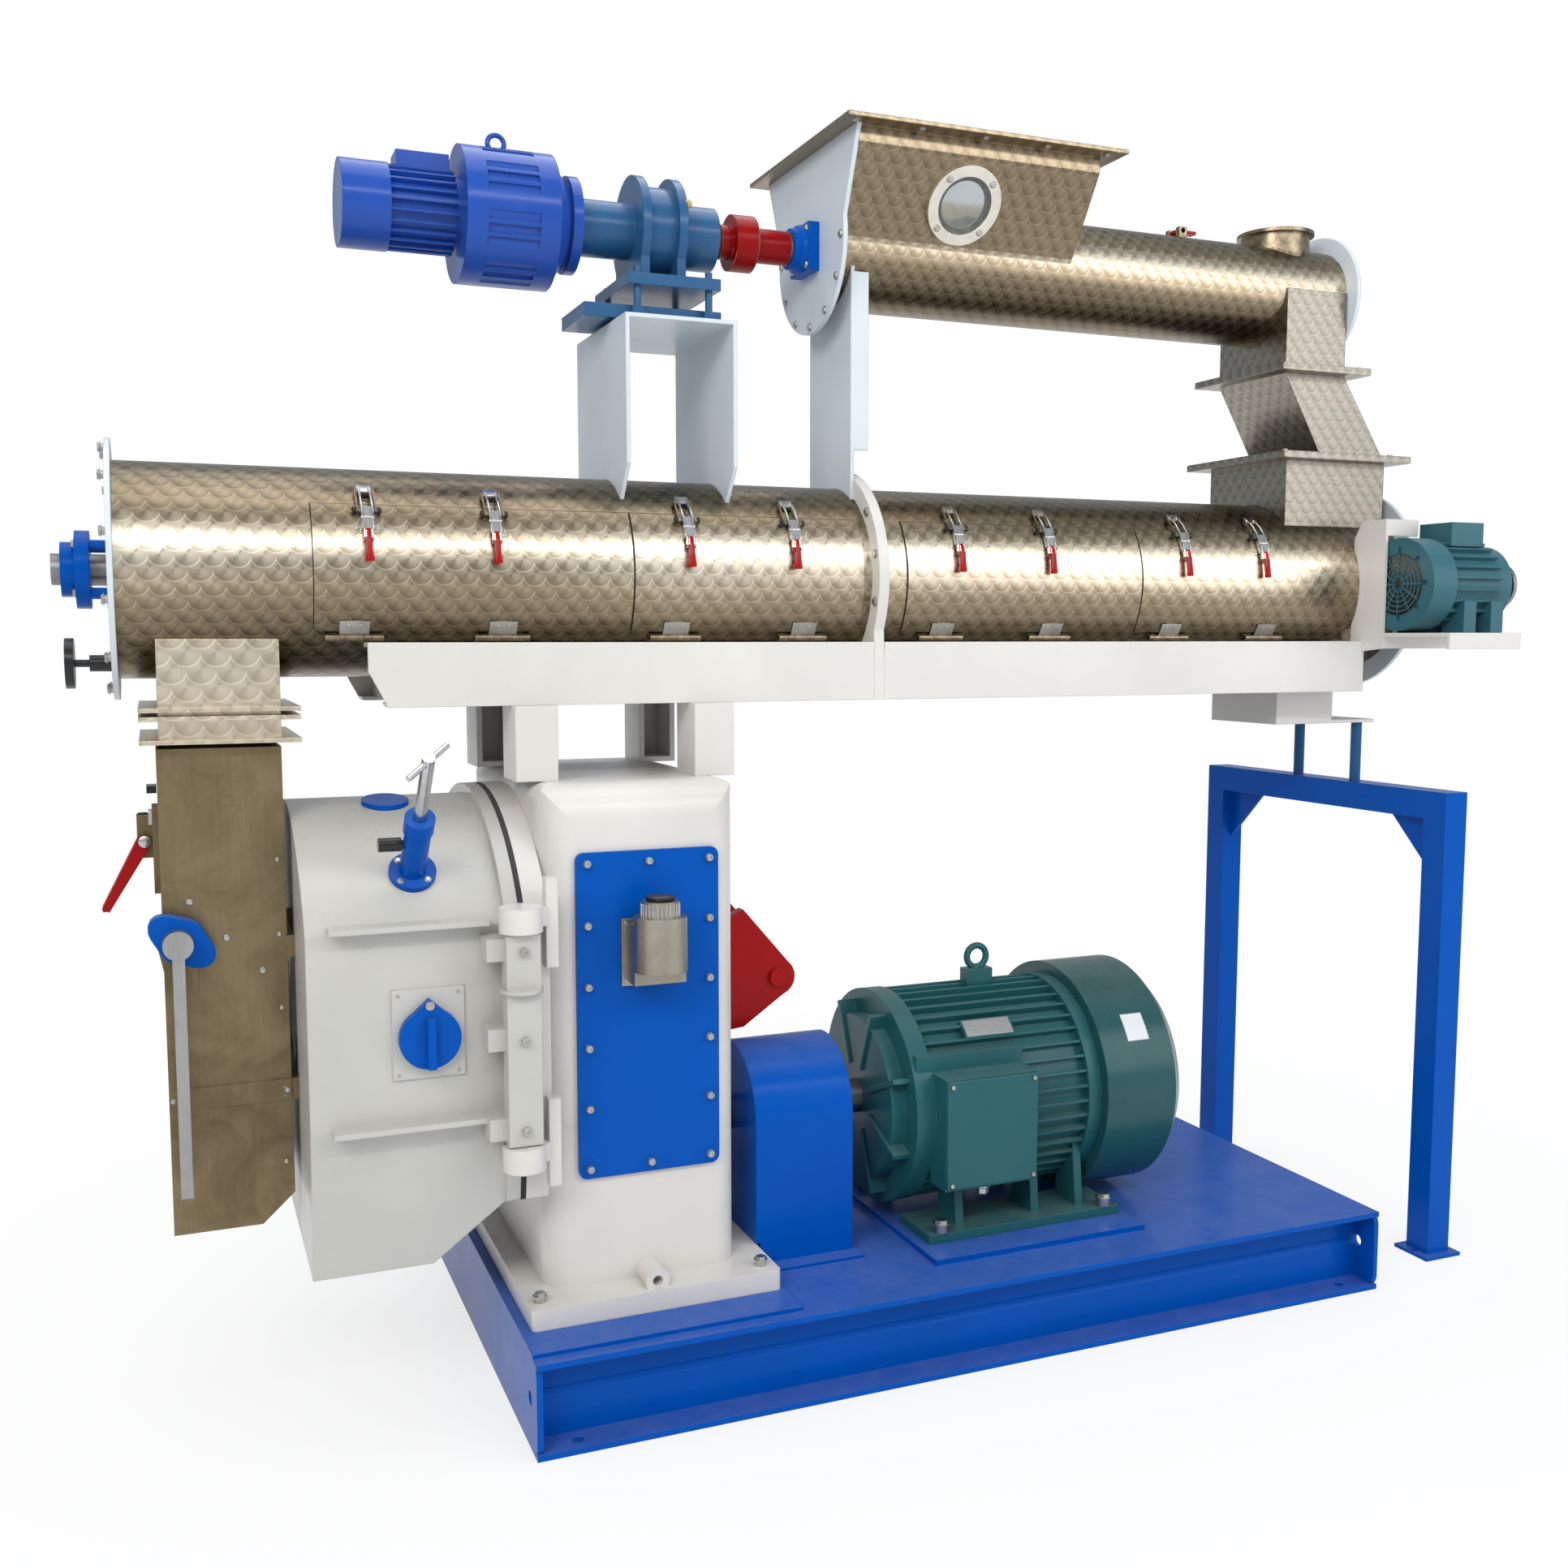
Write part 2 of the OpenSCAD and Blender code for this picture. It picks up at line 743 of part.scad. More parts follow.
module coupling_guard() {
    color("royalblue") difference() {
        union() {
            xsheet(guard_x0, guard_x1) guard_line(0);
            blk([guard_x0 - lip_t, guard_y - guard_r - lip_y, base_h],
                [guard_x1 + lip_t, guard_y + guard_r + lip_y, base_h + guard_t]);
        }
        xsheet(guard_x0 + guard_t, guard_x1 - guard_t) guard_line(guard_t);
        xbar(guard_x0 - over, guard_x1 + over, pin_r * 1.4, motor_y, motor_z);
        blk([guard_x0 - lip_t - over, guard_y - guard_r - lip_y - over, base_h - over],
            [col_x1 + foot_right + pad_t + gap, guard_y + guard_r + lip_y + over,
                base_h + pad_t + foot_t + gap]);
    }
}
module guard_line(i) {
    translate([guard_y, guard_z]) circle(guard_r - i);
    translate([guard_y - guard_r + i, base_h - i / 8]) square([2 * (guard_r - i), guard_z - base_h]);
}

module door_line(g, low) {
    top = die_z + door_r + g + over;
    difference() {
        polygon([[-door_half - g, top], [door_half + g, top], [door_half + g, die_z - door_taper_z],
            [door_foot_half + g, die_z - low], [-door_foot_half - g, die_z - low],
            [-door_half - g, die_z - door_taper_z]]);
        difference() {
            translate([-door_r, die_z]) square([2 * door_r, door_r * 1.2]);
            translate([0, die_z]) circle(door_r + g);
        }
    }
}

module die_casing() {
    color("white") difference() {
        xsheet(case_x0, col_x0) door_line(case_grow, door_low - cham_z);
        xbar(case_x0 - over, col_x0 + over, quill_r + gap, 0, die_z);
    }
}

module casing_gasket() {
    color("dimgray") xsheet(case_x0 - gasket_t, case_x0) difference() {
        door_line(case_grow - 1.2 * gap, door_low - cham_z);
        door_line(-lip_t, door_low - cham_z - lip_t);
    }
}

module hinge_bracket() {
    yb = -door_half - case_grow;
    color("whitesmoke") for (s = [0, 1]) {
        z0 = s == 0 ? post_z1 + knuckle_gap : post_z0 - knuckle_gap - knuckle_h;
        zbar(z0, z0 + knuckle_h, knuckle_r, hinge_x, hinge_y);
        blk([hinge_x, yb - hinge_arm, z0 + lip_t / 2], [case_x0 + boss, yb, z0 + knuckle_h - lip_t / 2]);
        zp = s == 0 ? z0 - knuckle_h * 1.6 : z0 - knuckle_h;
        blk([hinge_x + post_w * 0.8, yb - foot_front / 3, zp], [case_x0 + case_dx + lip_t, yb,
            zp + knuckle_h * 3.6]);
        zbar(s == 0 ? z0 - pin_in : z0 + knuckle_h, s == 0 ? z0 + over : z0 + knuckle_h + pin_in,
            post_pin_r, hinge_x, hinge_y);
    }
}

module conditioner_supports() {
    color("white") for (x = [col_x0 - support_x0, col_x1 - support_x1], s = [0, 1])
        mirror([0, s, 0]) difference() {
            blk([x, -support_out, col_z1], [x + support_dx, -support_in, beam_z0]);
            blk([x + base_t, -support_out + base_t, col_z1 + base_t],
                [x + support_dx - base_t, -support_in + over, beam_z0 - base_t]);
        }
}

module main_motor() {
    color("darkslategray") difference() {
        union() {
            xbar(mm_x0 + mm_bell / 2, mm_x1, mm_body_r, motor_y, motor_z);
            xbar(mm_x0, mm_x0 + mm_bell, mm_body_r - boss, motor_y, motor_z);
            xbar(mm_x0 + mm_bell / 2, mm_x0 + mm_bell * 1.2, mm_fin_r + over, motor_y, motor_z);
            xbar(mm_x1 - mm_bell / 2, mm_x1, mm_fin_r + over, motor_y, motor_z);
            for (i = [0:fin_count - 1]) translate([0, motor_y, motor_z]) rotate([i * 360 / fin_count, 0, 0])
                blk([mm_x0 + mm_bell, -fin_t / 2, mm_body_r - over], [mm_x1 - mm_bell / 4, fin_t / 2,
                    mm_fin_r]);
            for (i = [1:bell_webs]) translate([0, motor_y, motor_z])
                rotate([i * 360 / bell_webs + bell_turn, 0, 0])
                blk([mm_x0 - bolt_h, -fin_t, pin_r * 2], [mm_x0 + mm_bell / 2 + over, fin_t, mm_body_r]);
            translate([0, motor_y, 0]) both() {
                blk([mfoot_x0, -mfoot_half, base_h + mpad_t], [mfoot_x1, -mm_body_r / 2,
                    base_h + mpad_t + mfoot_t]);
                for (x = [mfoot_x0 + rib_in, mfoot_x0 + rib_mid, mfoot_x1 - rib_out])
                    xsheet(x, x + mfoot_t)
                    polygon([[-mfoot_half + boss, base_h + mpad_t], [-mm_body_r * 0.6, base_h + mpad_t],
                        [-mm_body_r * 0.6, motor_z - mm_body_r * 0.7], [-mm_body_r * 0.9,
                            motor_z - mm_body_r * 0.4]]);
            }
            blk([mbox_x0 - lip_y, motor_y - mbox_y + boss * 2, mbox_z0 + lip_y],
                [mbox_x1, motor_y, mbox_z1 + lip_y]);
            blk([mbox_x0, motor_y - mbox_y, mbox_z0], [mbox_x1, motor_y - mbox_y + boss * 2 + over,
                mbox_z1]);
            blk([eye_x0, motor_y - boss / 2, motor_z + mm_body_r], [eye_x0 + eye_dx,
                motor_y + boss / 2,
                motor_z + mm_fin_r + boss]);
            translate([eye_x0 + eye_dx / 2, motor_y, motor_z + mm_fin_r + boss * 1.8]) rotate([90, 0, 0])
                rotate_extrude() translate([boss * 0.75, 0]) circle(r = lip_t * 0.7, $fn = 32);
        }
        xbar(mm_x0 - bolt_h - over, mm_x0 + mm_bell * 2, pin_r + fit, motor_y, motor_z);
    }
}

module motor_cowl() {
    color("darkslategray") difference() {
        union() {
            xbar(mm_x1 + gap * 0, cowl_x1 - boss, cowl_r, motor_y, motor_z);
            translate([cowl_x1 - boss, motor_y, motor_z]) rotate([0, 90, 0])
                cylinder(h = boss, r1 = cowl_r, r2 = cowl_r - boss);
        }
        xbar(mm_x1 + sheet_t, cowl_x1 - boss, cowl_r - sheet_t, motor_y, motor_z);
        xbar(mm_x1 - over, mm_x1 + sheet_t + over, mm_fin_r - boss, motor_y, motor_z);
        for (i = [0:grille_rows - 1], j = [1:grille_count]) translate([0, motor_y, motor_z])
            rotate([j * 360 / grille_count, 0, 0])
            blk([cowl_x1 - boss - over, -lip_t, boss * (i * grille_share + grille_in_share)],
                [cowl_x1 + over, lip_t, boss * (i * grille_share + grille_out_share)]);
    }
}

module barrel_shell() {
    difference() {
        xbar(barrel_x0, barrel_x1, barrel_r, 0, cond_z);
        xbar(barrel_x0 - over, barrel_x1 + over, barrel_r - barrel_t, 0, cond_z);
    }
}

module conditioner_barrel() {
    color("silver") difference() {
        union() {
            barrel_shell();
            for (x = [mid_x - flange_t, mid_x]) xsheet(x, x + flange_t) difference() {
                union() {
                    translate([0, cond_z]) circle(barrel_r + flange_grow);
                    polygon([[-beam_half + lip_t, cond_z], [beam_half - lip_t, cond_z], [beam_half,
                        beam_z1 - lip_y],
                        [beam_half, beam_z0], [-beam_half, beam_z0], [-beam_half, beam_z1 - lip_y]]);
                }
                translate([0, cond_z]) circle(barrel_r + gap);
            }
            for (d = [0:3], k = [0:1]) {
                x = barrel_x0 + hinge_shares[d][k] * barrel_len;
                p = on_arc(dhinge_r, dhinge_a, cond_z);
                xbar(x - dhinge_len / 2, x + dhinge_len / 2, dhinge_pin, p.x, p.y);
                for (s = [-1, 1]) {
                    xc = x + s * dhinge_len / 3;
                    xbar(xc - dhinge_len / 6, xc + dhinge_len / 6, dhinge_k, p.x, p.y);
                    arc_shell(xc - dhinge_len / 6, xc + dhinge_len / 6, barrel_r - over / 2,
                        barrel_r + over / 2,
                        dhinge_a - leaf_low, dhinge_a + leaf_high, cond_z);
                }
            }
            for (q = latch_shares) arc_shell(barrel_x0 + q * barrel_len - latch_w / 2,
                barrel_x0 + q * barrel_len + latch_w / 2, barrel_r - over / 2, barrel_r + over / 2,
                    keep_a0, keep_a1, cond_z);
        }
        for (d = [0:3]) arc_shell(barrel_x0 + door_start_shares[d] * barrel_len + lip_t,
            barrel_x0 + door_end_shares[d] * barrel_len - lip_t, barrel_r - barrel_t - over, barrel_r + over,
            cut_a0, cut_a1, cond_z);
        blk([in_x0 + sheet_t, -in_y + lip_t * 1.5, cond_z], [in_x1 - sheet_t, in_y - lip_t * 1.5,
            cond_z + barrel_r + over]);
        blk([out_x0 + sheet_t, -out_y + lip_t * 2, cond_z - barrel_r - over], [out_x1 - sheet_t,
            out_y - lip_t * 2, cond_z]);
    }
}

module barrel_end_plates() {
    color("gainsboro") {
        xtube(barrel_x0 - end_t, barrel_x0, barrel_r + left_grow, rotor_r + over, 0, cond_z);
        difference() {
            xtube(barrel_x1, barrel_x1 + end_t, barrel_r + right_grow, rotor_r + over, 0, cond_z);
            blk([barrel_x1 - over, mix_y, cond_z - door_r], [barrel_x1 + end_t + over,
                mix_y + mix_cowl_r + pad_t, cond_z + door_r]);
        }
    }
}

module beam(x0, x1, slant) {
    both() difference() {
        blk([x0, -beam_half, beam_z0], [x1, -beam_half + beam_in, beam_z1]);
        blk([x0 - over, -beam_half + beam_t, beam_z0 + beam_t], [x1 + over, -beam_half + beam_in + over,
            beam_z1 - beam_t]);
        ysheet(-beam_half - over, -beam_half + beam_in + over)
            polygon([[x0 - over, beam_z0 - over], [x0 + slant, beam_z0 - over], [x0 - over,
                beam_z0 + slant * 2]]);
    }
}

module support_beams() {
    bx = beam_x1;
    color("white") difference() {
        union() {
            beam(beam_x0, mid_x - flange_t, lip_y);
            beam(mid_x + flange_t, beam_x1, 0);
            for (x = [beam_x0 + beam_in, col_x0, col_x1 - beam_in, mid_x + beam_in * 2, stud_x0])
                blk([x, -beam_half + beam_t / 2, beam_z0 + beam_t / 2], [x + beam_t,
                    beam_half - beam_t / 2, beam_z1 - beam_t / 2]);
            blk([stud_x0, -beam_half + beam_t, beam_z0], [bx, beam_half - beam_t, beam_z0 + beam_t]);
            both() {
                blk([stud_x0, -stud_half, beam_z0 - stud_drop + beam_t], [bx, -stud_half + beam_t,
                    beam_z0 + over]);
                for (x = [stud_x0, bx - beam_t]) blk([x, -stud_half + over, beam_z0 - stud_drop + over],
                    [x + beam_t, 0, beam_z0 + over]);
            }
            blk([stud_x0, -stud_half, beam_z0 - stud_drop], [stud_x1, stud_half,
                beam_z0 - stud_drop + beam_t]);
            xsheet(bx, bx + beam_t) polygon([[-beam_in, beam_z0], [-beam_in, cond_z - barrel_r * 0.98],
                [-barrel_r * 0.88, cond_z - barrel_r * 0.9], [-barrel_r * 0.9, cond_z + barrel_r * 0.56],
                [-beam_half + lip_t, cond_z + barrel_r * 0.77], [br_y, cond_z + barrel_r * 0.77],
                [br_y, ledge_z - lip_y], [-beam_half, beam_z0 + beam_h * 0.8], [-beam_half, beam_z0]]);
            blk([bx, br_y - lip_y, ledge_z - ledge_t], [bx + beam_half, -beam_half, ledge_z]);
            blk([bx, br_y, ledge_z - lip_y], [bx + beam_half, br_y + beam_t, ledge_z - over]);
            blk([bx, br_y, cond_z + stay_z], [bx + stay_dx, br_y + beam_t, cond_z + barrel_r * 0.77]);
            blk([bx, br_y - ledge_deep, ledge_z - ledge_t], [bx + beam_half, br_y, ledge_z]);
            blk([bx, br_y - ledge_deep, ledge_z - lip_y], [bx + beam_half, br_y - ledge_deep + ledge_lip,
                ledge_z]);
        }
        xbar(beam_x0 - over, barrel_x1, barrel_r + gap, 0, cond_z);
        both() zbar(beam_z0 - stud_drop - over, beam_z0 - stud_drop + beam_t + over, stud_r + fit, leg_x,
            -stud_y);
    }
}

module portal_frame() {
    color("royalblue") difference() {
        union() {
            both() {
                blk([leg_x - leg_w / 2, -leg_half - leg_w / 2, 0], [leg_x + leg_w / 2,
                    -leg_half + leg_w / 2, portal_h]);
                blk([leg_x - leg_w * 0.8, -leg_half - leg_w * 0.78, 0], [leg_x + leg_w * 0.8,
                    -leg_half + leg_w * 0.78, beam_t]);
                xsheet(leg_x - beam_t / 2, leg_x + beam_t / 2) polygon([[-leg_half, portal_h - leg_w * 3],
                    [-leg_half + leg_w / 2, portal_h - leg_w * 3], [-leg_half + leg_w * 2.5,
                        portal_h - leg_w],
                    [-leg_half, portal_h - leg_w]]);
            }
            blk([leg_x - leg_w / 2, -leg_half, portal_h - leg_w], [leg_x + leg_w / 2, leg_half, portal_h]);
        }
        both() for (x = [leg_x - leg_w * 0.62, leg_x + leg_w * 0.62])
            zbar(-over, beam_t + over, bolt_r, x, -leg_half);
    }
}

module shaft_bearings() {
    xl = barrel_x0 - end_t;
    xr = barrel_x1 + end_t;
    color("royalblue") difference() {
        union() {
            for (a = [45:90:360]) xbar(xl - stand_len, xl, bolt_r * 1.3, (bearing_r - lip_t) * cos(a),
                cond_z + (bearing_r - lip_t) * sin(a));
            xbar(xl - stand_len - bearing_t, xl - stand_len, bearing_r, 0, cond_z);
            xbar(xl - stand_len - bearing_t * 2, xl - stand_len, bearing2_r, 0, cond_z);
            xbar(xr, xr + bearing_t, bearing_r * 1.2, 0, cond_z);
            xbar(xr, xr + bearing_t * 2, bearing2_r, 0, cond_z);
            blk([feed_x0 - end_t - bearing_t, -bearing2_r, feed_z - bearing2_r], [feed_x0 - end_t,
                bearing2_r, feed_z + bearing2_r]);
        }
        xbar(xl - stand_len * 3, xr + stand_len * 3, rotor_r + fit, 0, cond_z);
        xbar(feed_x0 - end_t - bearing_t - over, feed_x0, screw_shaft_r + fit, 0, feed_z);
    }
}

module mixer_motor() {
    color("teal") difference() {
        union() {
            xbar(mix_x0, mix_x0 + mix_cowl, mix_cowl_r, mix_y, cond_z);
            xbar(mix_x0 + mix_cowl - over, mix_x1, mix_r, mix_y, cond_z);
            for (i = [1:mix_fins]) translate([0, mix_y, cond_z]) rotate([i * 360 / mix_fins + mix_turn, 0,
                0])
                blk([mix_x0 + mix_cowl - over, -fin_t / 3, mix_r - over], [mix_x1 - lip_y, fin_t / 3,
                    mix_cowl_r - over]);
            for (x = [mix_x0 + mix_cowl * 1.4, mix_x1 - lip_y * 2]) for (s = [-1, 1])
                blk([x, mix_y + (s < 0 ? -mix_r - lip_t : lip_y), ledge_z],
                    [x + lip_y, mix_y + (s < 0 ? -lip_y : mix_r + lip_t), ledge_z + lip_y * 2]);
            blk([mix_x0 + mix_cowl * 1.5, mix_y - boss * 1.5, cond_z + mix_r - over],
                [mix_x1 - lip_y * 1.4, mix_y + boss * 1.5,
                cond_z + mix_r + boss * 1.6]);
        }
        xbar(mix_x1 - boss * 2, mix_x1 + over, lip_t + fit, mix_y, cond_z);
        for (i = [0:2], j = [1:mix_slots]) translate([0, mix_y, cond_z])
            rotate([j * 360 / mix_slots + i * mix_slot_turn, 0, 0])
            blk([mix_x0 - over, -bolt_h, boss * (i * slot_step_share + slot_in_share)],
                [mix_x0 + bolt_h, bolt_h, boss * (i * slot_step_share + slot_out_share)]);
    }
}

module inlet_duct() {
    zl = cond_z + barrel_r * 0.6;
    zt = in_z1 + 2 * fl_t;
    dx0 = in_x0 + duct_in;
    ux0 = feed_x1 - duct_w - over;
    color("silver") difference() {
        union() {
            blk([in_x0, -in_y, zl], [in_x1, in_y, in_z1]);
            blk([in_x0 - fl_grow, -in_y - fl_grow, in_z1], [in_x1 + fl_grow, in_y + fl_grow, zt]);
            ysheet(-duct_y, duct_y) polygon([[dx0, zt], [dx0 + duct_w2, zt], [ux0 + duct_w, duct_z1], [ux0,
                duct_z1]]);
            blk([ux0 - fl_grow, -duct_y - fl_grow, duct_z1], [ux0 + duct_w + fl_grow, duct_y + fl_grow,
                duct_z1 + 2 * fl_t]);
            blk([ux0, -duct_y, duct_z1], [ux0 + duct_w, duct_y, feed_z]);
        }
        xbar(in_x0 - over, in_x1 + over, barrel_r + gap / 5, 0, cond_z);
        xbar(ux0 - over, ux0 + duct_w + over, feed_r + gap / 5, 0, feed_z);
        blk([in_x0 + sheet_t, -in_y + sheet_t, cond_z], [in_x1 - sheet_t, in_y - sheet_t, in_z1]);
        ysheet(-duct_y + sheet_t, duct_y - sheet_t) polygon([[dx0 + sheet_t, in_z1 - over],
            [dx0 + duct_w2 - sheet_t, in_z1 - over],
            [dx0 + duct_w2 - sheet_t, zt], [ux0 + duct_w - sheet_t, duct_z1], [ux0 + duct_w - sheet_t,
                feed_z],
            [ux0 + sheet_t, feed_z], [ux0 + sheet_t, duct_z1], [dx0 + sheet_t, zt]]);
    }
}

module hopper_line(i) {
    polygon([[-feed_r + i, feed_z], [-feed_r + i, feed_z - i], [feed_r - i, feed_z - i], [feed_r - i,
        feed_z],
        [hopper_half - i, hop_z1 - boss], [hopper_half - i, hop_z1 + i], [-hopper_half + i,
            hop_z1 + i], [-hopper_half + i, hop_z1 - boss]]);
}

module feeder_trough() {
    ux0 = feed_x1 - duct_w - over;
    color("silver") difference() {
        union() {
            xbar(feed_x0, feed_x1, feed_r, 0, feed_z);
            xsheet(hop_x0, hop_x0 + hopper_len) hopper_line(0);
            blk([hop_x0 - hop_fl, -hopper_half - hop_fl, hop_z1], [hop_x0 + hopper_len + hop_fl,
                hopper_half + hop_fl, hop_z1 + fl_t]);
            zbar(feed_z, spout_z1, spout_r, spout_x, 0);
            zbar(spout_z1 - fl_t, spout_z1, spout_r + lip_t, spout_x, 0);
            both() blk([hasp_x - lip_t, -boss / 2 - lip_t, feed_z + feed_r - lip_t * 1.5],
                [hasp_x + lip_t, -boss / 2 + over, feed_z + feed_r + lip_t * 2]);
        }
        on_slope() translate([0, 0, -lip_t * 2]) cylinder(h = lip_t * 3, r = sight_ri - lip_t);
        ybar(-boss, boss, bolt_h + fit, hasp_x, feed_z + feed_r + lip_t * 1.2);
        xbar(feed_x0 - over, feed_x1 + over, feed_r - sheet_t, 0, feed_z);
        xsheet(hop_x0 + sheet_t, hop_x0 + hopper_len - sheet_t) hopper_line(sheet_t);
        blk([hop_x0 + sheet_t, -hopper_half + sheet_t, hop_z1 - sheet_t], [hop_x0 + hopper_len - sheet_t,
            hopper_half - sheet_t, hop_z1 + fl_t + over]);
        zbar(feed_z, spout_z1 + over, spout_r - sheet_t, spout_x, 0);
        blk([ux0 + sheet_t, -feed_r * 0.85, feed_z - feed_r - over], [ux0 + duct_w - sheet_t,
            feed_r * 0.85, feed_z]);
    }
}

module feeder_end_plates() {
    color("white") difference() {
        union() {
            xsheet(feed_x0 - end_t, feed_x0) union() {
                translate([0, feed_z]) circle(feed_r + flange_grow * 1.5);
                polygon([[-feed_r - lip_y, feed_z], [feed_r + lip_y, feed_z], [hopper_half + lip_t,
                    hop_z1], [-hopper_half - lip_t, hop_z1]]);
            }
            xbar(feed_x1, feed_x1 + end_t, feed_r + flange_grow, 0, feed_z);
        }
        xbar(feed_x0 - end_t - over, feed_x0 + over, screw_shaft_r + over, 0, feed_z);
        xbar(feed_x1 - over, feed_x1 + end_t + over, screw_shaft_r / 2 + gap, 0, feed_z);
    }
}

// Slope of the hopper's front wall, where the sight glass sits
slope_dy = hopper_half - feed_r;
slope_dz = hop_z1 - boss - feed_z;
slope_a = atan2(slope_dz, slope_dy);
module on_slope() {
    translate([sight_x, -(feed_r + hopper_half) / 2, (feed_z * 2 + slope_dz) / 2]) rotate([180 - slope_a,
        0, 0]) children();
}
module sight_glass_ring() {
    color("silver") on_slope() difference() {
        cylinder(h = sight_t, r = sight_ro);
        translate([0, 0, -over]) cylinder(h = sight_t + 2 * over, r = sight_ri);
    }
}
module sight_glass() {
    color("lightblue", 0.5) on_slope() cylinder(h = sight_t / 2, r = sight_ri - gap / 10);
}

module feeder_post() {
    color("white") difference() {
        union() {
            blk([post_x1 - beam_t, -post_half, cond_z], [post_x1, post_half, feed_z]);
            blk([post_x1 - beam_t, -post_half, cond_z + barrel_r + lip_y * 2], [post_x1 + boss,
                -post_half + beam_t, feed_z - feed_r / 2]);
            blk([post_x1 - beam_t, post_half - beam_t, cond_z + barrel_r + lip_y * 2], [post_x1 + boss,
                post_half, feed_z - feed_r / 2]);
        }
        xbar(feed_x0 - over, post_x1 + boss * 2, barrel_r + gap / 5, 0, cond_z);
        xbar(feed_x0 - over, post_x1 + boss * 2, feed_r + gap / 5, 0, feed_z);
        xsheet(feed_x0 - over, post_x1 + boss * 2) hopper_line(-gap / 5);
    }
}

module drive_bracket() {
    zb = cond_z + barrel_r * 0.72;
    color("white") difference() {
        union() {
            for (x = [bracket_x0, bracket_x1 - beam_t]) xsheet(x, x + beam_t) polygon([[-bracket_half,
                bracket_z1],
                [-bracket_half, zb + lip_y * 2], [-bracket_half * 0.7, zb], [bracket_half * 0.7, zb],
                [bracket_half, zb + lip_y * 2], [bracket_half, bracket_z1]]);
            blk([bracket_x0, -bracket_half, bracket_z1 - beam_t], [bracket_x1, bracket_half, bracket_z1]);
        }
        xbar(bracket_x0 - over, bracket_x1 + over, barrel_r + gap / 5, 0, cond_z);
    }
}

module feeder_motor() {
    color("royalblue") {
        xbar(fmot_x0, fmot_x0 + fmot_cap, fmot_cap_r, 0, feed_z);
        xbar(fmot_x0, clutch_x0 + over, fmot_r, 0, feed_z);
        for (i = [1:fmot_fins]) translate([0, 0, feed_z]) rotate([i * 360 / fmot_fins, 0, 0])
            blk([fmot_x0 + fmot_cap - over, -fin_t / 3, fmot_r - sheet_t], [clutch_x0 - fl_t, fin_t / 3,
                fmot_fin_r]);
        difference() {
            xbar(clutch_x0, clutch_x1 - clutch_cone, clutch_r, 0, feed_z);
            for (j = [1:bell_webs], k = [-1, 0, 1]) translate([0, 0, feed_z])
                rotate([j * 360 / bell_webs + bell_turn, 0, 0])
                blk([clutch_x0 + slot_in, slot_pitch * k - slot_w / 2, clutch_r - bolt_h],
                    [clutch_x1 - clutch_cone - slot_in, slot_pitch * k + slot_w / 2, clutch_r + fl_t]);
        }
        translate([clutch_x1 - clutch_cone, 0, feed_z]) rotate([0, 90, 0])
            cylinder(h = clutch_cone, r1 = clutch_r - boss / 2, r2 = fmot_cap_r);
        xbar(clutch_x1, neck_x0, clutch_lip_r, 0, feed_z);
        translate([eye2_x, 0, feed_z + clutch_r + eye2_rise]) rotate([90, 0, 0])
            rotate_extrude() translate([eye2_r, 0]) circle(r = eye2_wire, $fn = 32);
        blk([eye2_x - bolt_r, -bolt_r, feed_z + clutch_r - bolt_r], [eye2_x + bolt_r, bolt_r,
            feed_z + clutch_r + over]);
        blk([fmot_x0 + fbox_in, -fbox_half, feed_z + fbox_low], [clutch_x0 - 2 * fl_t, fbox_half,
            feed_z + fbox_top]);
    }
}

module feeder_reducer() {
    zf = bracket_z1 + red_plate_z;
    xa = red_x0 + red_case_in;
    xb = xa + red_case_dx;
    color("darkslategray") difference() {
        union() {
            xbar(neck_x0, xa, red_neck_r, 0, feed_z);
            xbar(xa, xa + red_lip_t, red_lip_r, 0, feed_z);
            xbar(xa + lip_t, xb + fl_t, red_case_r, 0, feed_z);
            xbar(xb, xb + red_lip_t, red_lip_r, 0, feed_z);
            xbar(xb + fl_t, red_x1, red_nose_r, 0, feed_z);
            blk([bracket_x0 + red_plate_in, -red_half, zf], [bracket_x1 - red_plate_in / 2,
                red_half, zf + red_plate_t]);
            for (x = [xa, xb]) blk([x, -red_leg_half, zf + red_plate_t / 2], [x + red_lip_t,
                red_leg_half, feed_z - red_nose_r * 0.8]);
            blk([bracket_x0 - red_slab_out, -red_leg_half, bracket_z1 + red_slab_z], [bracket_x1,
                red_leg_half, bracket_z1 + red_slab_z + red_slab_t]);
            for (x = [bracket_x0 + red_stud_in, bracket_x1 - boss]) {
                for (y = [-red_stud_y, red_stud_y]) {
                    zbar(bracket_z1, zf + lip_y, bolt_r, x, y);
                    zbar(bracket_z1, bracket_z1 + ledge_t, bolt_r * 1.8, x, y);
                }
                blk([x - bolt_r * 1.6, -red_stud_y - fl_t, bracket_z1 + ledge_t], [x + bolt_r * 1.6,
                    red_stud_y + fl_t, bracket_z1 + red_slab_t]);
            }
        }
        xbar(red_x1 - red_bore, red_x1 + over, screw_shaft_r + fit, 0, feed_z);
    }
}

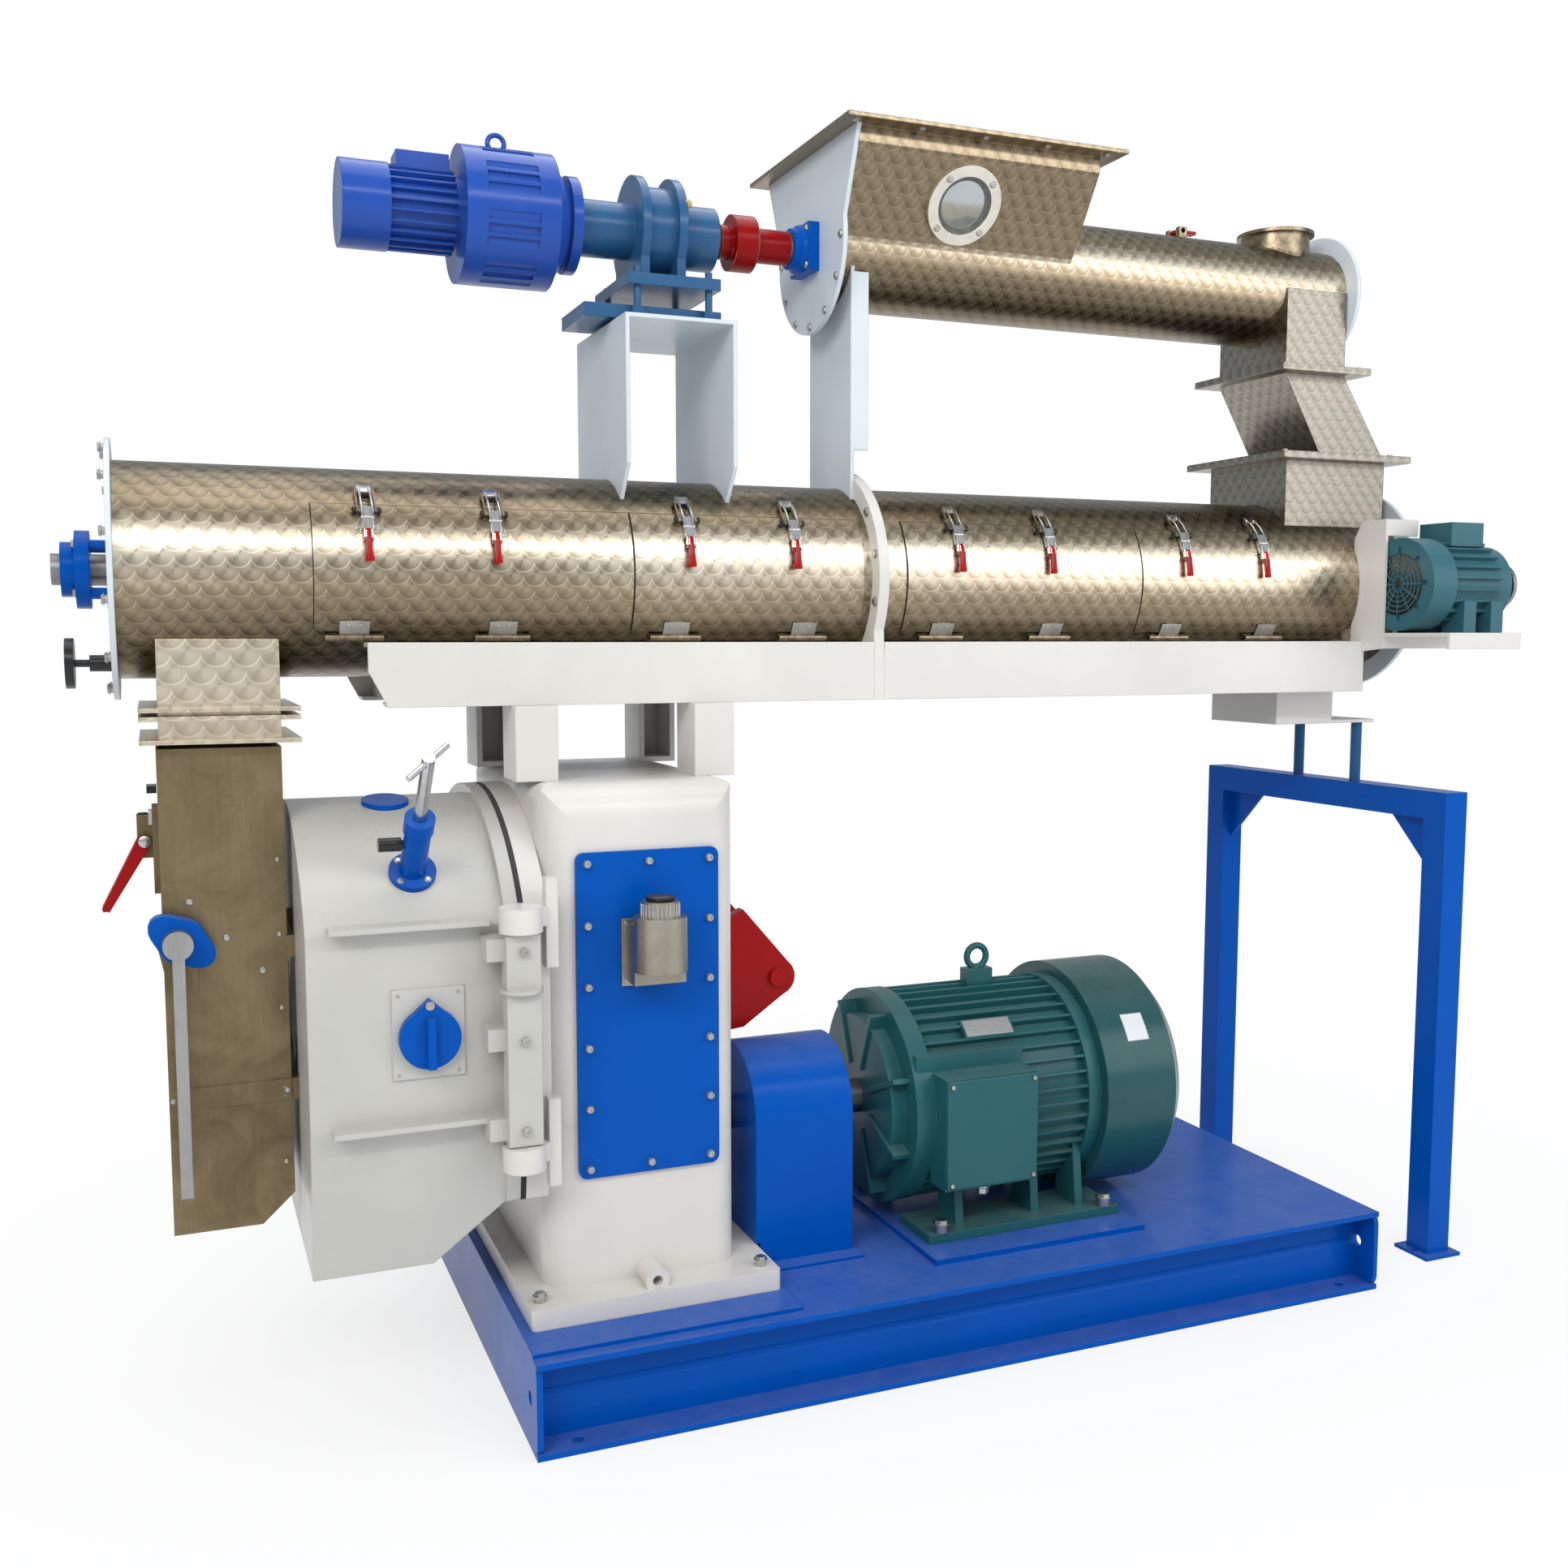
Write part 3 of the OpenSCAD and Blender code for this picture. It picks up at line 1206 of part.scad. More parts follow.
module outlet_duct() {
    zt = cond_z - barrel_r * 0.55;
    color("silver") difference() {
        union() {
            blk([out_x0, -out_y, beam_z0 - out_drop], [out_x1, out_y, zt]);
            for (z = [beam_z0 + gap * 2, beam_z0 - out_step, beam_z0 - out_drop])
                blk([out_x0 - out_fl, -out_y - out_fl, z - fl_t / 2], [out_x1 + out_fl, out_y + out_fl,
                    z + fl_t / 2]);
        }
        xbar(out_x0 - over, out_x1 + over, barrel_r + gap / 5, 0, cond_z);
        blk([out_x0 + sheet_t, -out_y + sheet_t, beam_z0 - out_drop - fl_t], [out_x1 - sheet_t,
            out_y - sheet_t, zt + over]);
    }
}

module roller_carrier() {
    color("dimgray") {
        xbar(roller_x1 + over / 2, col_x1 + shear_hub_t, shaft_r, 0, die_z);
        for (x = [[die_x0 + sheet_t, die_x0 + sheet_t * 5], [roller_x1 + over / 2, roller_x1 + fl_t]])
            xsheet(x[0], x[1]) union() {
            for (s = [-1, 1]) translate([s * roller_off, die_z]) circle(stub_r * 2);
            translate([-roller_off, die_z - stub_r * 1.4]) square([2 * roller_off, stub_r * 2.8]);
        }
        for (s = [-1, 1]) xbar(die_x0 + fl_t, roller_x1 + bolt_h, stub_r, s * roller_off, die_z);
    }
}

module mill_door() {
    color("white") difference() {
        union() {
            difference() {
                union() {
                    xsheet(door_x0, door_x1) door_line(0, door_low);
                    xsheet(door_x1 - rim_t, door_x1) door_line(rim_grow, door_low - cham_z);
                }
                xsheet(door_x0 + door_t, door_x1 + over) door_line(-door_t, door_low + over * 4);
            }
            for (z = [lip_z0, lip_z1]) blk([door_x0 + lip_y, -door_half - lip_y, z],
                [hinge_x - knuckle_r - lip_t, -door_half + over, z + lip_t]);
            blk([knob_x - knob_plate, -door_half - sheet_t, die_z - knob_low], [knob_x + knob_plate,
                -door_half + over, die_z + knob_high]);
            blk([hinge_x - post_w / 2, hinge_y - post_d / 2, post_z0], [hinge_x + post_w / 2,
                hinge_y + post_d / 2, post_z1]);
            zbar(die_z + ring_z, die_z + ring_z + fl_t, post_w * 0.63, hinge_x, hinge_y);
            for (z = [tab_z0, die_z, tab_z1]) blk([hinge_x - post_w, hinge_y, z], [hinge_x - over,
                -door_half + over, z + tab_h]);
            for (z = [cap_z0, cap_z, cap_z1]) ybar(hinge_y - post_d / 2 - over, hinge_y, cap_r, hinge_x, z);
        }
        ysheet(-door_half * 2, door_half * 2) polygon([[door_x1 - foot_cut_in, die_z - door_low - over * 2],
            [door_x1 - rim_t, die_z - door_low + cham_z], [door_x1 + over, die_z - door_low + cham_z + over],
            [door_x1 + over * 9, die_z - door_low - over * 2]]);
        xbar(door_x0 - over, door_x0 + door_t + over, inlet_r, 0, die_z);
        for (z = [post_z0 - over, post_z1 - pin_in - over]) zbar(z, z + pin_in + 2 * over,
            post_pin_r + fit, hinge_x, hinge_y);
        on_arch(cut_x, cut_a) translate([0, 0, door_r - door_t * 2]) cylinder(h = door_t * 4,
            r = cut_rod_r + lip_t);
    }
}

// Frame along the cutter's radial axis: local +Z points out of the arch
module on_arch(x, a) { translate([x, 0, die_z]) rotate([90 - a, 0, 0]) children(); }

module cutter_post() {
    color("royalblue") difference() {
        union() {
        on_arch(cut_x, cut_a) difference() {
            union() {
                translate([0, 0, door_r - gap * 8]) cylinder(h = lip_t + gap * 8, r = cut_flange_r);
                translate([0, 0, door_r]) cylinder(h = cut_post_len, r = cut_post_r);
                translate([0, 0, door_r + cut_post_len - boss]) cylinder(h = boss,
                    r = cut_post_r + over);
            }
            translate([0, 0, door_r - over * 2]) cylinder(h = cut_post_len + over * 4, r = cut_rod_r + fit);
            translate([0, 0, door_r + cut_lock_at]) rotate([0, -90, 0]) cylinder(h = cut_post_r * 2,
                r = bolt_r + fit);
        }
        on_arch(cut2_x, cut2_a) translate([0, 0, door_r - gap * 6]) cylinder(h = lip_t,
            r = cut_flange_r * 1.05);
        }
        xbar(door_x0, door_x1, door_r + gap / 10, 0, die_z);
    }
}
module cutter_screw() {
    color("silver") on_arch(cut_x, cut_a) {
        translate([0, 0, die_ro + boss]) cylinder(h = door_r + cut_rod_len - die_ro - boss,
            r = cut_rod_r);
        rotate([0, 0, cut_turn]) translate([-cut_bar / 2, 0, door_r + cut_rod_len - lip_t]) rotate([0, 90,
            0]) cylinder(h = cut_bar, r = lip_t / 2);
        translate([-cut_bar / 2, -lip_t / 2, die_ro + lip_t * 2]) cube([cut_bar, lip_t, lip_t * 2]);
    }
}
module cutter_lock() {
    color("black") on_arch(cut_x, cut_a) translate([0, 0, door_r + cut_lock_at]) rotate([0, -90, 0]) {
        translate([0, 0, cut_rod_r + gap * 2]) cylinder(h = cut_lock_len, r = bolt_r);
        translate([0, 0, cut_post_r + over]) cylinder(h = cut_lock_len - lip_t, r = bolt_r * 1.7);
    }
}
module door_knob() {
    y1 = -door_half - sheet_t - gap;
    color("royalblue") {
        ybar(y1 - lip_y / 2, y1, knob_r, knob_x, knob_z);
        ysheet(y1 - lip_y / 2, y1) polygon([[knob_x - knob_r * 0.8, knob_z + knob_r * 0.6], [knob_x,
            knob_z + knob_tip],
            [knob_x + knob_r * 0.8, knob_z + knob_r * 0.6], [knob_x, knob_z]]);
        blk([knob_x - bolt_r, y1 - lip_y, knob_z - knob_r * 0.95], [knob_x + bolt_r, y1,
            knob_z + knob_r * 0.7]);
    }
}

module chute_line(i) {
    polygon([[chute_x0 + i, chute_z0 + i], [chute_x1 - chute_cham_x - i / 2, chute_z0 + i],
        [chute_x1 - i, chute_z0 + chute_cham_z + i / 2], [chute_x1 - i, chute_z1 + i * 2], [chute_x0 + i,
            chute_z1 + i * 2]]);
}
module discharge_chute() {
    zc = clamp_z;
    color("rosybrown") difference() {
        union() {
            ysheet(-out_y, out_y) chute_line(0);
            blk([chute_x1 - over, -out_y, die_z - rib_low], [door_x0, out_y, die_z - rib_low + rib_w]);
            blk([chute_x1 - over, -out_y, die_z + rib_high], [door_x0, out_y, die_z + rib_high + rib_w]);
            blk([chute_x0, -out_y - over, die_z - rib_low], [chute_x1, out_y, die_z - rib_low + rib_w]);
            ybar(-out_y - lip_y, -out_y, pin_r, lever_x + bolt_h, lever_z);
            ysheet(-out_y - over, -out_y) polygon([[lever_x - lip_y, lever_z], [lever_x + lip_y, lever_z],
                [lever_x + boss, lever_z - brace_z], [lever_x - boss / 2, lever_z - brace_z]]);
            blk([chute_x0 - lip_t, -boss, zc - clamp_low], [chute_x0, boss, zc + clamp_high]);
            blk([chute_x0 - boss * 1.15, -lip_t, zc - boss], [chute_x0, lip_t, zc + boss * 1.5]);
        }
        ysheet(-out_y + sheet_t, out_y - sheet_t) chute_line(sheet_t);
        blk([chute_x0 - over, -out_y + lip_y, lever_z - flap_hole], [chute_x0 + sheet_t * 2, out_y - lip_y,
            lever_z - boss]);
        xbar(chute_x1 - sheet_t * 2, door_x0 + over, inlet_r, 0, die_z);
        ybar(-out_y - lip_y * 2, out_y + over, lip_t + fit, lever_x, lever_z);
        ybar(-boss, boss, bolt_h + fit, chute_x0 - boss * 0.75, zc);
    }
}
module chute_lever() {
    yl = -out_y - lip_y - gap;
    color("silver") {
        ybar(yl - boss, out_y - lip_y, lip_t, lever_x, lever_z);
        ybar(yl - boss - over, yl, boss * 0.8, lever_x, lever_z);
        blk([lever_x - lip_t, yl - lip_y / 1.2, lever_z - lever_len], [lever_x + lip_t, yl - boss / 2,
            lever_z]);
        blk([lever_x - sheet_t, -out_y + lip_y * 1.2, lever_z - flap_leaf], [lever_x, out_y - lip_y * 1.2,
            lever_z]);
    }
}
module chute_clamp() {
    zc = clamp_z;
    xc = chute_x0 - boss * 0.75;
    color("red") {
        ybar(-lip_t * 2 - gap * 4, lip_t * 2 + gap * 4, bolt_h, xc, zc);
        for (y = [-lip_t * 2, lip_t + gap]) ysheet(y, y + lip_t - gap) polygon([[xc - lip_t,
            zc + lip_t * 0.9], [xc + lip_t * 0.8, zc + lip_t * 0.9],
            [xc + lip_t * 0.8, zc - lip_t], [xc - boss * 2, zc - boss * 4], [xc - boss * 2.4,
                zc - boss * 3.8]]);
        blk([xc - boss * 2.35, -lip_t * 2, zc - boss * 3.95], [xc - boss * 2, lip_t * 2,
            zc - boss * 3.7]);
    }
}

module ring_die() {
    color("dimgray") difference() {
        union() {
            xtube(die_x0, die_x1, die_ro, die_ri, 0, die_z);
            xtube(die_x0, die_x0 + disc_t / 2, die_ro + lip_t, die_ri, 0, die_z);
            xtube(die_x1 - disc_t / 2, die_x1, die_ro + lip_t, die_ri, 0, die_z);
        }
        for (i = [0:die_hole_count - 1], k = [0:2]) translate([0, 0, die_z]) rotate([(i + k / 2)
            * 360 / die_hole_count, 0, 0])
            translate([die_x0 + (die_x1 - die_x0) * (k + 1) / 4, 0, die_ri - over])
            cylinder(h = die_ro - die_ri + 2 * over, r = die_hole_r, $fn = 24);
    }
}

function gear_half(z, m, r) = 90 / z - 0.12 * 180 / (PI * z) * 1 + inv20 - (tan(pa(z, m, r))
    * 180 / PI - pa(z, m, r));
function pa(z, m, r) = acos(min(1, m * z / 2 * cos(gear_press) / r));
inv20 = tan(gear_press) * 180 / PI - gear_press;
function gear_pts(z, m) = [for (i = [0:z - 1], p = [[m * z / 2 - 1.2 * m, -1, 1.3], [m * z / 2 - 0.9 * m,
    -1, 1], [m * z / 2, -1, 1],
    [m * z / 2 + 0.85 * m, -1, 1], [m * z / 2 + 0.85 * m, 1, 1], [m * z / 2, 1, 1], [m * z / 2 - 0.9 * m,
        1, 1],
    [m * z / 2 - 1.2 * m, 1, 1.3]]) tri_arc(p[0], i * 360 / z + p[1] * p[2] * gear_half(z, m, max(p[0],
        m * z / 2 - 0.9 * m)))];
mesh_a = atan2(motor_z - die_z, motor_y);

module drive_gear() {
    color("slategray") difference() {
        union() {
            translate([0, 0, die_z]) xsheet(gear_x0, gear_x1) rotate(mesh_a) polygon(gear_pts(gear_z,
                gear_m));
            xbar(case_x0 - gasket_t, quill_x1, quill_r, 0, die_z);
            xbar(die_x1, die_x1 + disc_t, die_ro + lip_t, 0, die_z);
            xbar(die_x1 + disc_t / 2, case_x0 - gasket_t + over, quill_r + lip_t, 0, die_z);
        }
        xbar(die_x1 - over, quill_x1 + over, shaft_r + fit, 0, die_z);
        ring_bolts(gear_x0 - over, gear_x1 + over, quill_r + gear_hole_r * 2.25, gear_holes, 0, die_z,
            gear_hole_r);
    }
}
module press_roller(s) {
    color("gray") difference() {
        union() {
            xbar(roller_x0, roller_x1, roller_r, s * roller_off, die_z);
            for (i = [1:roller_ribs]) translate([0, s * roller_off, die_z]) rotate([i * 360 / roller_ribs,
                0, 0])
                blk([roller_x0 + over, -over / 2, roller_r - over / 2], [roller_x1 - over, over / 2,
                    roller_r + over / 2]);
        }
        xbar(roller_x0 - over, roller_x1 + over, stub_r + fit, s * roller_off, die_z);
    }
}
module motor_rotor() {
    color("slategray") {
        translate([0, motor_y, motor_z]) xsheet(gear_x0 - over, gear_x1 + over)
            rotate(mesh_a + 180 + 180 / pinion_z) polygon(gear_pts(pinion_z, gear_m));
        xbar(col_x0 + col_wall, mm_x0 + mm_bell, pin_r, motor_y, motor_z);
        xbar(hub_x0, hub_x0 + hub_len, guard_r * 0.6, motor_y, motor_z);
        xbar(hub_x0 + hub_len + fl_t, hub_x0 + 2 * hub_len + fl_t, guard_r * 0.6, motor_y, motor_z);
        ring_bolts(hub_x0 + hub_len - over, hub_x0 + hub_len + fl_t + over, guard_r * 0.45, gear_holes,
            motor_y, motor_z, bolt_r);
    }
}
module mixing_rotor() {
    xl = barrel_x0 - shaft_end - end_t;
    color("silver") {
        xbar(xl, pulley_x0 + pulley_w, rotor_r, 0, cond_z);
        for (i = [0:paddle_count - 1]) translate([barrel_x0 + barrel_len * (i + paddle_share)
            / (paddle_count + 2), 0, cond_z])
            rotate([i * 90, 0, 0]) {
            cylinder(h = paddle_r * 0.8, r = lip_t);
            rotate([0, 0, paddle_turn]) translate([-boss, -over, paddle_r * 0.55]) cube([boss * 2,
                over * 2, paddle_r * 0.4]);
        }
        difference() {
            xbar(pulley_x0, pulley_x0 + pulley_w, pulley_r, 0, cond_z);
            for (k = [1:2]) xtube(pulley_x0 + k * pulley_w / 3 - over, pulley_x0 + k * pulley_w / 3 + over,
                pulley_r + over,
                pulley_r - lip_t, 0, cond_z);
        }
    }
}
module mixer_pulley() {
    color("gray") {
        xbar(mix_x1 - boss * 1.8, pulley_x0, lip_t, mix_y, cond_z);
        difference() {
            xbar(pulley_x0, pulley_x0 + pulley_w, mpulley_r, mix_y, cond_z);
            for (k = [1:2]) xtube(pulley_x0 + k * pulley_w / 3 - over, pulley_x0 + k * pulley_w / 3 + over,
                mpulley_r + over,
                mpulley_r - lip_t, mix_y, cond_z);
        }
    }
}
module feeder_screw() {
    r0 = screw_shaft_r - over;
    steps = floor((feed_x1 - feed_x0 - flange_t * 5) / screw_pitch * screw_steps);
    color("silver") {
        translate([feed_x0 + flange_t * 2, 0, feed_z]) polyhedron(points = [for (i = [0:steps])
            let (a = i * 360 / screw_steps, x = i * screw_pitch / screw_steps) each [[x, r0 * cos(a),
                r0 * sin(a)],
            [x + sheet_t, r0 * cos(a), r0 * sin(a)], [x + sheet_t, screw_r * cos(a), screw_r * sin(a)],
            [x, screw_r * cos(a), screw_r * sin(a)]]], faces = concat([[0, 1, 2], [0, 2, 3]],
            [[4 * steps + 2, 4 * steps + 1, 4 * steps], [4 * steps + 3, 4 * steps + 2, 4 * steps]],
            [for (i = [0:steps - 1], k = [0:3], t = [0, 1]) let (b = 4 * i, n = (k + 1) % 4)
                t == 0 ? [b + k, b + 4 + k, b + n] : [b + n, b + 4 + k, b + 4 + n]]));
        xbar(red_x1 - boss, feed_x1 - gap, screw_shaft_r, 0, feed_z);
        xbar(feed_x1 - over, feed_x1 + end_t, screw_shaft_r / 2, 0, feed_z);
    }
    color("red") {
        xbar(couple_x0, couple_x1, couple_r, 0, feed_z);
        xbar(couple_x0 + couple_in, couple_x0 + couple_in * 3, couple_r + couple_grow, 0, feed_z);
    }
}

module barrel_door(d) {
    x0 = barrel_x0 + door_start_shares[d] * barrel_len;
    x1 = barrel_x0 + door_end_shares[d] * barrel_len;
    p = on_arc(dhinge_r, dhinge_a, cond_z);
    color("silver") difference() {
        union() {
            arc_shell(x0, x1, barrel_r + gap, barrel_r + gap + pan_t, pan_a0, pan_a1, cond_z);
            for (k = [0:1]) {
                x = barrel_x0 + hinge_shares[d][k] * barrel_len;
                h = dhinge_len / 6 - gap;
                xbar(x - h, x + h, dhinge_k, p.x, p.y);
                arc_shell(x - h + over / 2, x + h - over / 2, barrel_r + gap + pan_t / 2,
                    barrel_r + gap + pan_t * 1.8, leaf_a0, leaf_a1, cond_z);
                xl = barrel_x0 + latch_shares[d * 2 + k] * barrel_len;
                q = on_arc(barrel_r + latch_off, latch_a, cond_z);
                arc_shell(xl - latch_w, xl + latch_w, barrel_r + gap + pan_t / 2,
                    barrel_r + gap + pan_t * 1.3, latch_pad_a0, latch_pad_a1, cond_z);
                for (s = [-1, 1]) xsheet(xl + s * latch_w * 0.72 - over / 2,
                    xl + s * latch_w * 0.72 + over / 2)
                    lever_line(barrel_r + over * 2, barrel_r + latch_off, bail_angles);
                xsheet(xl - latch_w * 0.72, xl + latch_w * 0.72)
                    lever_line(barrel_r + over * 2.2, barrel_r + latch_off - over / 2, bail_bar_angles);
                for (s = [-1, 1]) {
                    xe = xl + s * (latch_w * 0.72);
                    on_barrel(latch_a) blk([xe - over, -bolt_r * 0.8, barrel_r + gap + pan_t / 2],
                        [xe + over, bolt_r * 0.8, barrel_r + latch_off + bolt_r * 0.8]);
                }
            }
        }
        for (k = [0:1]) {
            x = barrel_x0 + hinge_shares[d][k] * barrel_len;
            xl = barrel_x0 + latch_shares[d * 2 + k] * barrel_len;
            q = on_arc(barrel_r + latch_off, latch_a, cond_z);
            xbar(x - dhinge_len / 3, x + dhinge_len / 3, dhinge_pin + fit, p.x, p.y);
            xbar(xl - latch_w * 2, xl + latch_w * 2, over + fit, q.x, q.y);
            for (s = [-1, 1]) xbar(x + s * dhinge_len / 3 - dhinge_len / 6 - gap / 2,
                x + s * dhinge_len / 3 + dhinge_len / 6 + gap / 2,
                dhinge_k + gap, p.x, p.y);
        }
    }
}

module lever_line(r0, r1, angles) {
    polygon(concat([for (a = angles) on_arc(r0, a, cond_z)],
        [for (i = [len(angles) - 1:-1:0]) on_arc(r1, angles[i], cond_z)]));
}

module latch(i) {
    xl = barrel_x0 + latch_shares[i] * barrel_len;
    q = on_arc(barrel_r + latch_off, latch_a, cond_z);
    w = latch_w / 2 - gap;
    color("silver") {
        xbar(xl - latch_w * 0.72 - over, xl + latch_w * 0.72 + over, over, q.x, q.y);
        xbar(xl - w, xl + w, bolt_r * 0.8, q.x, q.y);
        xsheet(xl - w * 0.8, xl + w * 0.8) lever_line(barrel_r + latch_off - over / 4,
            barrel_r + latch_off + over * 2, lever_angles);
    }
    color("red") xsheet(xl - w * 0.5, xl + w * 0.5) lever_line(barrel_r + latch_off + over / 2,
        barrel_r + latch_off + over * 3, grip_angles);
}

module feeder_latch() {
    x = hasp_x;
    z0 = feed_z + feed_r;
    color("red") {
        blk([x - bolt_r, -lip_t, z0 + lip_t], [x + boss * 1.5, lip_t, z0 + lip_t * 1.7]);
        ybar(-boss / 2, boss / 2, bolt_h, x, z0 + lip_t * 1.2);
    }
}
module hand_knob() {
    z = cond_z - wheel_drop;
    x1 = barrel_x0 - end_t;
    color("dimgray") {
        xbar(x1 - wheel_out, x1 - wheel_out + wheel_t, wheel_r, wheel_y, z);
        xbar(x1 - wheel_out + lip_t, x1 - gap, wheel_t * 0.45, wheel_y, z);
        xbar(x1 - lip_y, x1 - gap, wheel_t, wheel_y, z);
    }
}

base_frame();
gearbox_housing();
gearbox_cover();
fasteners();
oil_filler();
shear_pin_bracket();
coupling_guard();
die_casing();
casing_gasket();
hinge_bracket();
conditioner_supports();
main_motor();
motor_cowl();
conditioner_barrel();
barrel_end_plates();
support_beams();
portal_frame();
shaft_bearings();
mixer_motor();
inlet_duct();
feeder_trough();
feeder_end_plates();
sight_glass_ring();
sight_glass();
feeder_post();
drive_bracket();
feeder_motor();
feeder_reducer();
outlet_duct();
roller_carrier();
mill_door();
cutter_post();
cutter_screw();
cutter_lock();
door_knob();
discharge_chute();
chute_lever();
chute_clamp();
ring_die();
drive_gear();
press_roller(-1);  // press_roller_1
press_roller(1);  // press_roller_2
motor_rotor();
mixing_rotor();
mixer_pulley();
feeder_screw();
for (i = [1:4]) barrel_door(i - 1);
for (i = [1:8]) latch(i - 1);
feeder_latch();
hand_knob();
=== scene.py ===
import bpy
import bmesh
import math
from mathutils import Matrix, Vector


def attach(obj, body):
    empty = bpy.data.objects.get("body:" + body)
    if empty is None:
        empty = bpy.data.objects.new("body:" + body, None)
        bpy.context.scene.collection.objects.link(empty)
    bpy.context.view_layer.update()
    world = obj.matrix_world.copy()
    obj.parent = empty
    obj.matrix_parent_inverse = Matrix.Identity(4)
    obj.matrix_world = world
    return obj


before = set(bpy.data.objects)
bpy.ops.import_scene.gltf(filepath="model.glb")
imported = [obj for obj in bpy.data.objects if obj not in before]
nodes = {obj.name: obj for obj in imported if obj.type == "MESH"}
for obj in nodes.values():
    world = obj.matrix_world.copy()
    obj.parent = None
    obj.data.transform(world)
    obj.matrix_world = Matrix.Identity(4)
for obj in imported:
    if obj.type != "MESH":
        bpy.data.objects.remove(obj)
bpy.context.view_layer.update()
scene = bpy.context.scene
print("frame loaded", len(nodes), "nodes")

# main axes of the machine, in metres, and the directions its pieces face
mill = {"dieZ": 0.895, "barrelZ": 1.950, "feedZ": 2.807, "motorY": -0.100, "motorZ": 0.556}
toLeft, toRight, toFront, toTop, toBottom = (-1, 0, 0), (1, 0, 0), (0, -1, 0), (0, 0, 1), (0, 0, -1)


# shader helpers
def addNode(tree, kind, **values):
    node = tree.nodes.new(kind)
    for key, value in values.items():
        if key.startswith("in_"):
            node.inputs[key[3:]].default_value = value
        else:
            setattr(node, key, value)
    return node


def link(tree, a, b):
    tree.links.new(a, b)


def calcFor(tree):
    def calc(op, a, b=None, clamp=False):
        node = addNode(tree, "ShaderNodeMath", operation=op, use_clamp=clamp)
        for i, value in enumerate([a, b]):
            if value is None:
                continue
            if isinstance(value, (int, float)):
                node.inputs[i].default_value = value
            else:
                link(tree, value, node.inputs[i])
        return node.outputs[0]
    return calc


def mixColor(tree, factor, a, b):
    node = addNode(tree, "ShaderNodeMix", data_type="RGBA")
    for key, value in ((0, factor), (6, a), (7, b)):
        if isinstance(value, tuple):
            node.inputs[key].default_value = value
        else:
            link(tree, value, node.inputs[key])
    return node.outputs[2]


# a where the mask is 1, b where it is 0
def mixValue(tree, mask, a, b):
    calc = calcFor(tree)
    return calc("ADD", calc("MULTIPLY", a, mask), calc("MULTIPLY", b, calc("SUBTRACT", 1.0, mask)))


def noiseOn(tree, vector, **values):
    node = addNode(tree, "ShaderNodeTexNoise", **values)
    link(tree, vector, node.inputs["Vector"])
    return node.outputs[0]


def splitVector(tree, vector):
    node = addNode(tree, "ShaderNodeSeparateXYZ")
    link(tree, vector, node.inputs[0])
    return node.outputs


def scaleColor(tree, color, factor):
    node = addNode(tree, "ShaderNodeVectorMath", operation="SCALE")
    link(tree, color, node.inputs[0])
    link(tree, factor, node.inputs["Scale"])
    return node.outputs[0]


# bump laid over softened edges, sent to the group's Normal
def sendNormal(g, gout, softEdge, height, deep, strength):
    bump = addNode(g, "ShaderNodeBump", in_Distance=deep)
    if isinstance(strength, float):
        bump.inputs["Strength"].default_value = strength
    else:
        link(g, strength, bump.inputs["Strength"])
    link(g, height, bump.inputs["Height"])
    link(g, softEdge.outputs[0], bump.inputs["Normal"])
    link(g, bump.outputs[0], gout.inputs["Normal"])


def newGroup(name, ins):
    group = bpy.data.node_groups.new(name, "ShaderNodeTree")
    for label, kind, value in ins:
        socket = group.interface.new_socket(label, in_out="INPUT", socket_type="NodeSocket" + kind)
        socket.default_value = value
    for label, kind in (("Color", "Color"), ("Roughness", "Float"), ("Normal", "Vector")):
        group.interface.new_socket(label, in_out="OUTPUT", socket_type="NodeSocket" + kind)
    return group, group.nodes.new("NodeGroupInput"), group.nodes.new("NodeGroupOutput")


# worn paint: soft cloudy tone, dust on top faces, paler edges that are partly rubbed paint and partly painted
# highlight, orange peel
paintWearAndHighlight = {"softEdge": 0.004, "edgeFrom": 0.985, "edgeGain": 9.0, "edgeBreak": 0.46, "cloudGain": 4.0,
             "dustFrom": 0.6, "dustShare": 0.35, "dustColor": (0.62, 0.60, 0.56, 1), "glossSpan": 0.22,
             "peelDeep": 0.0006}


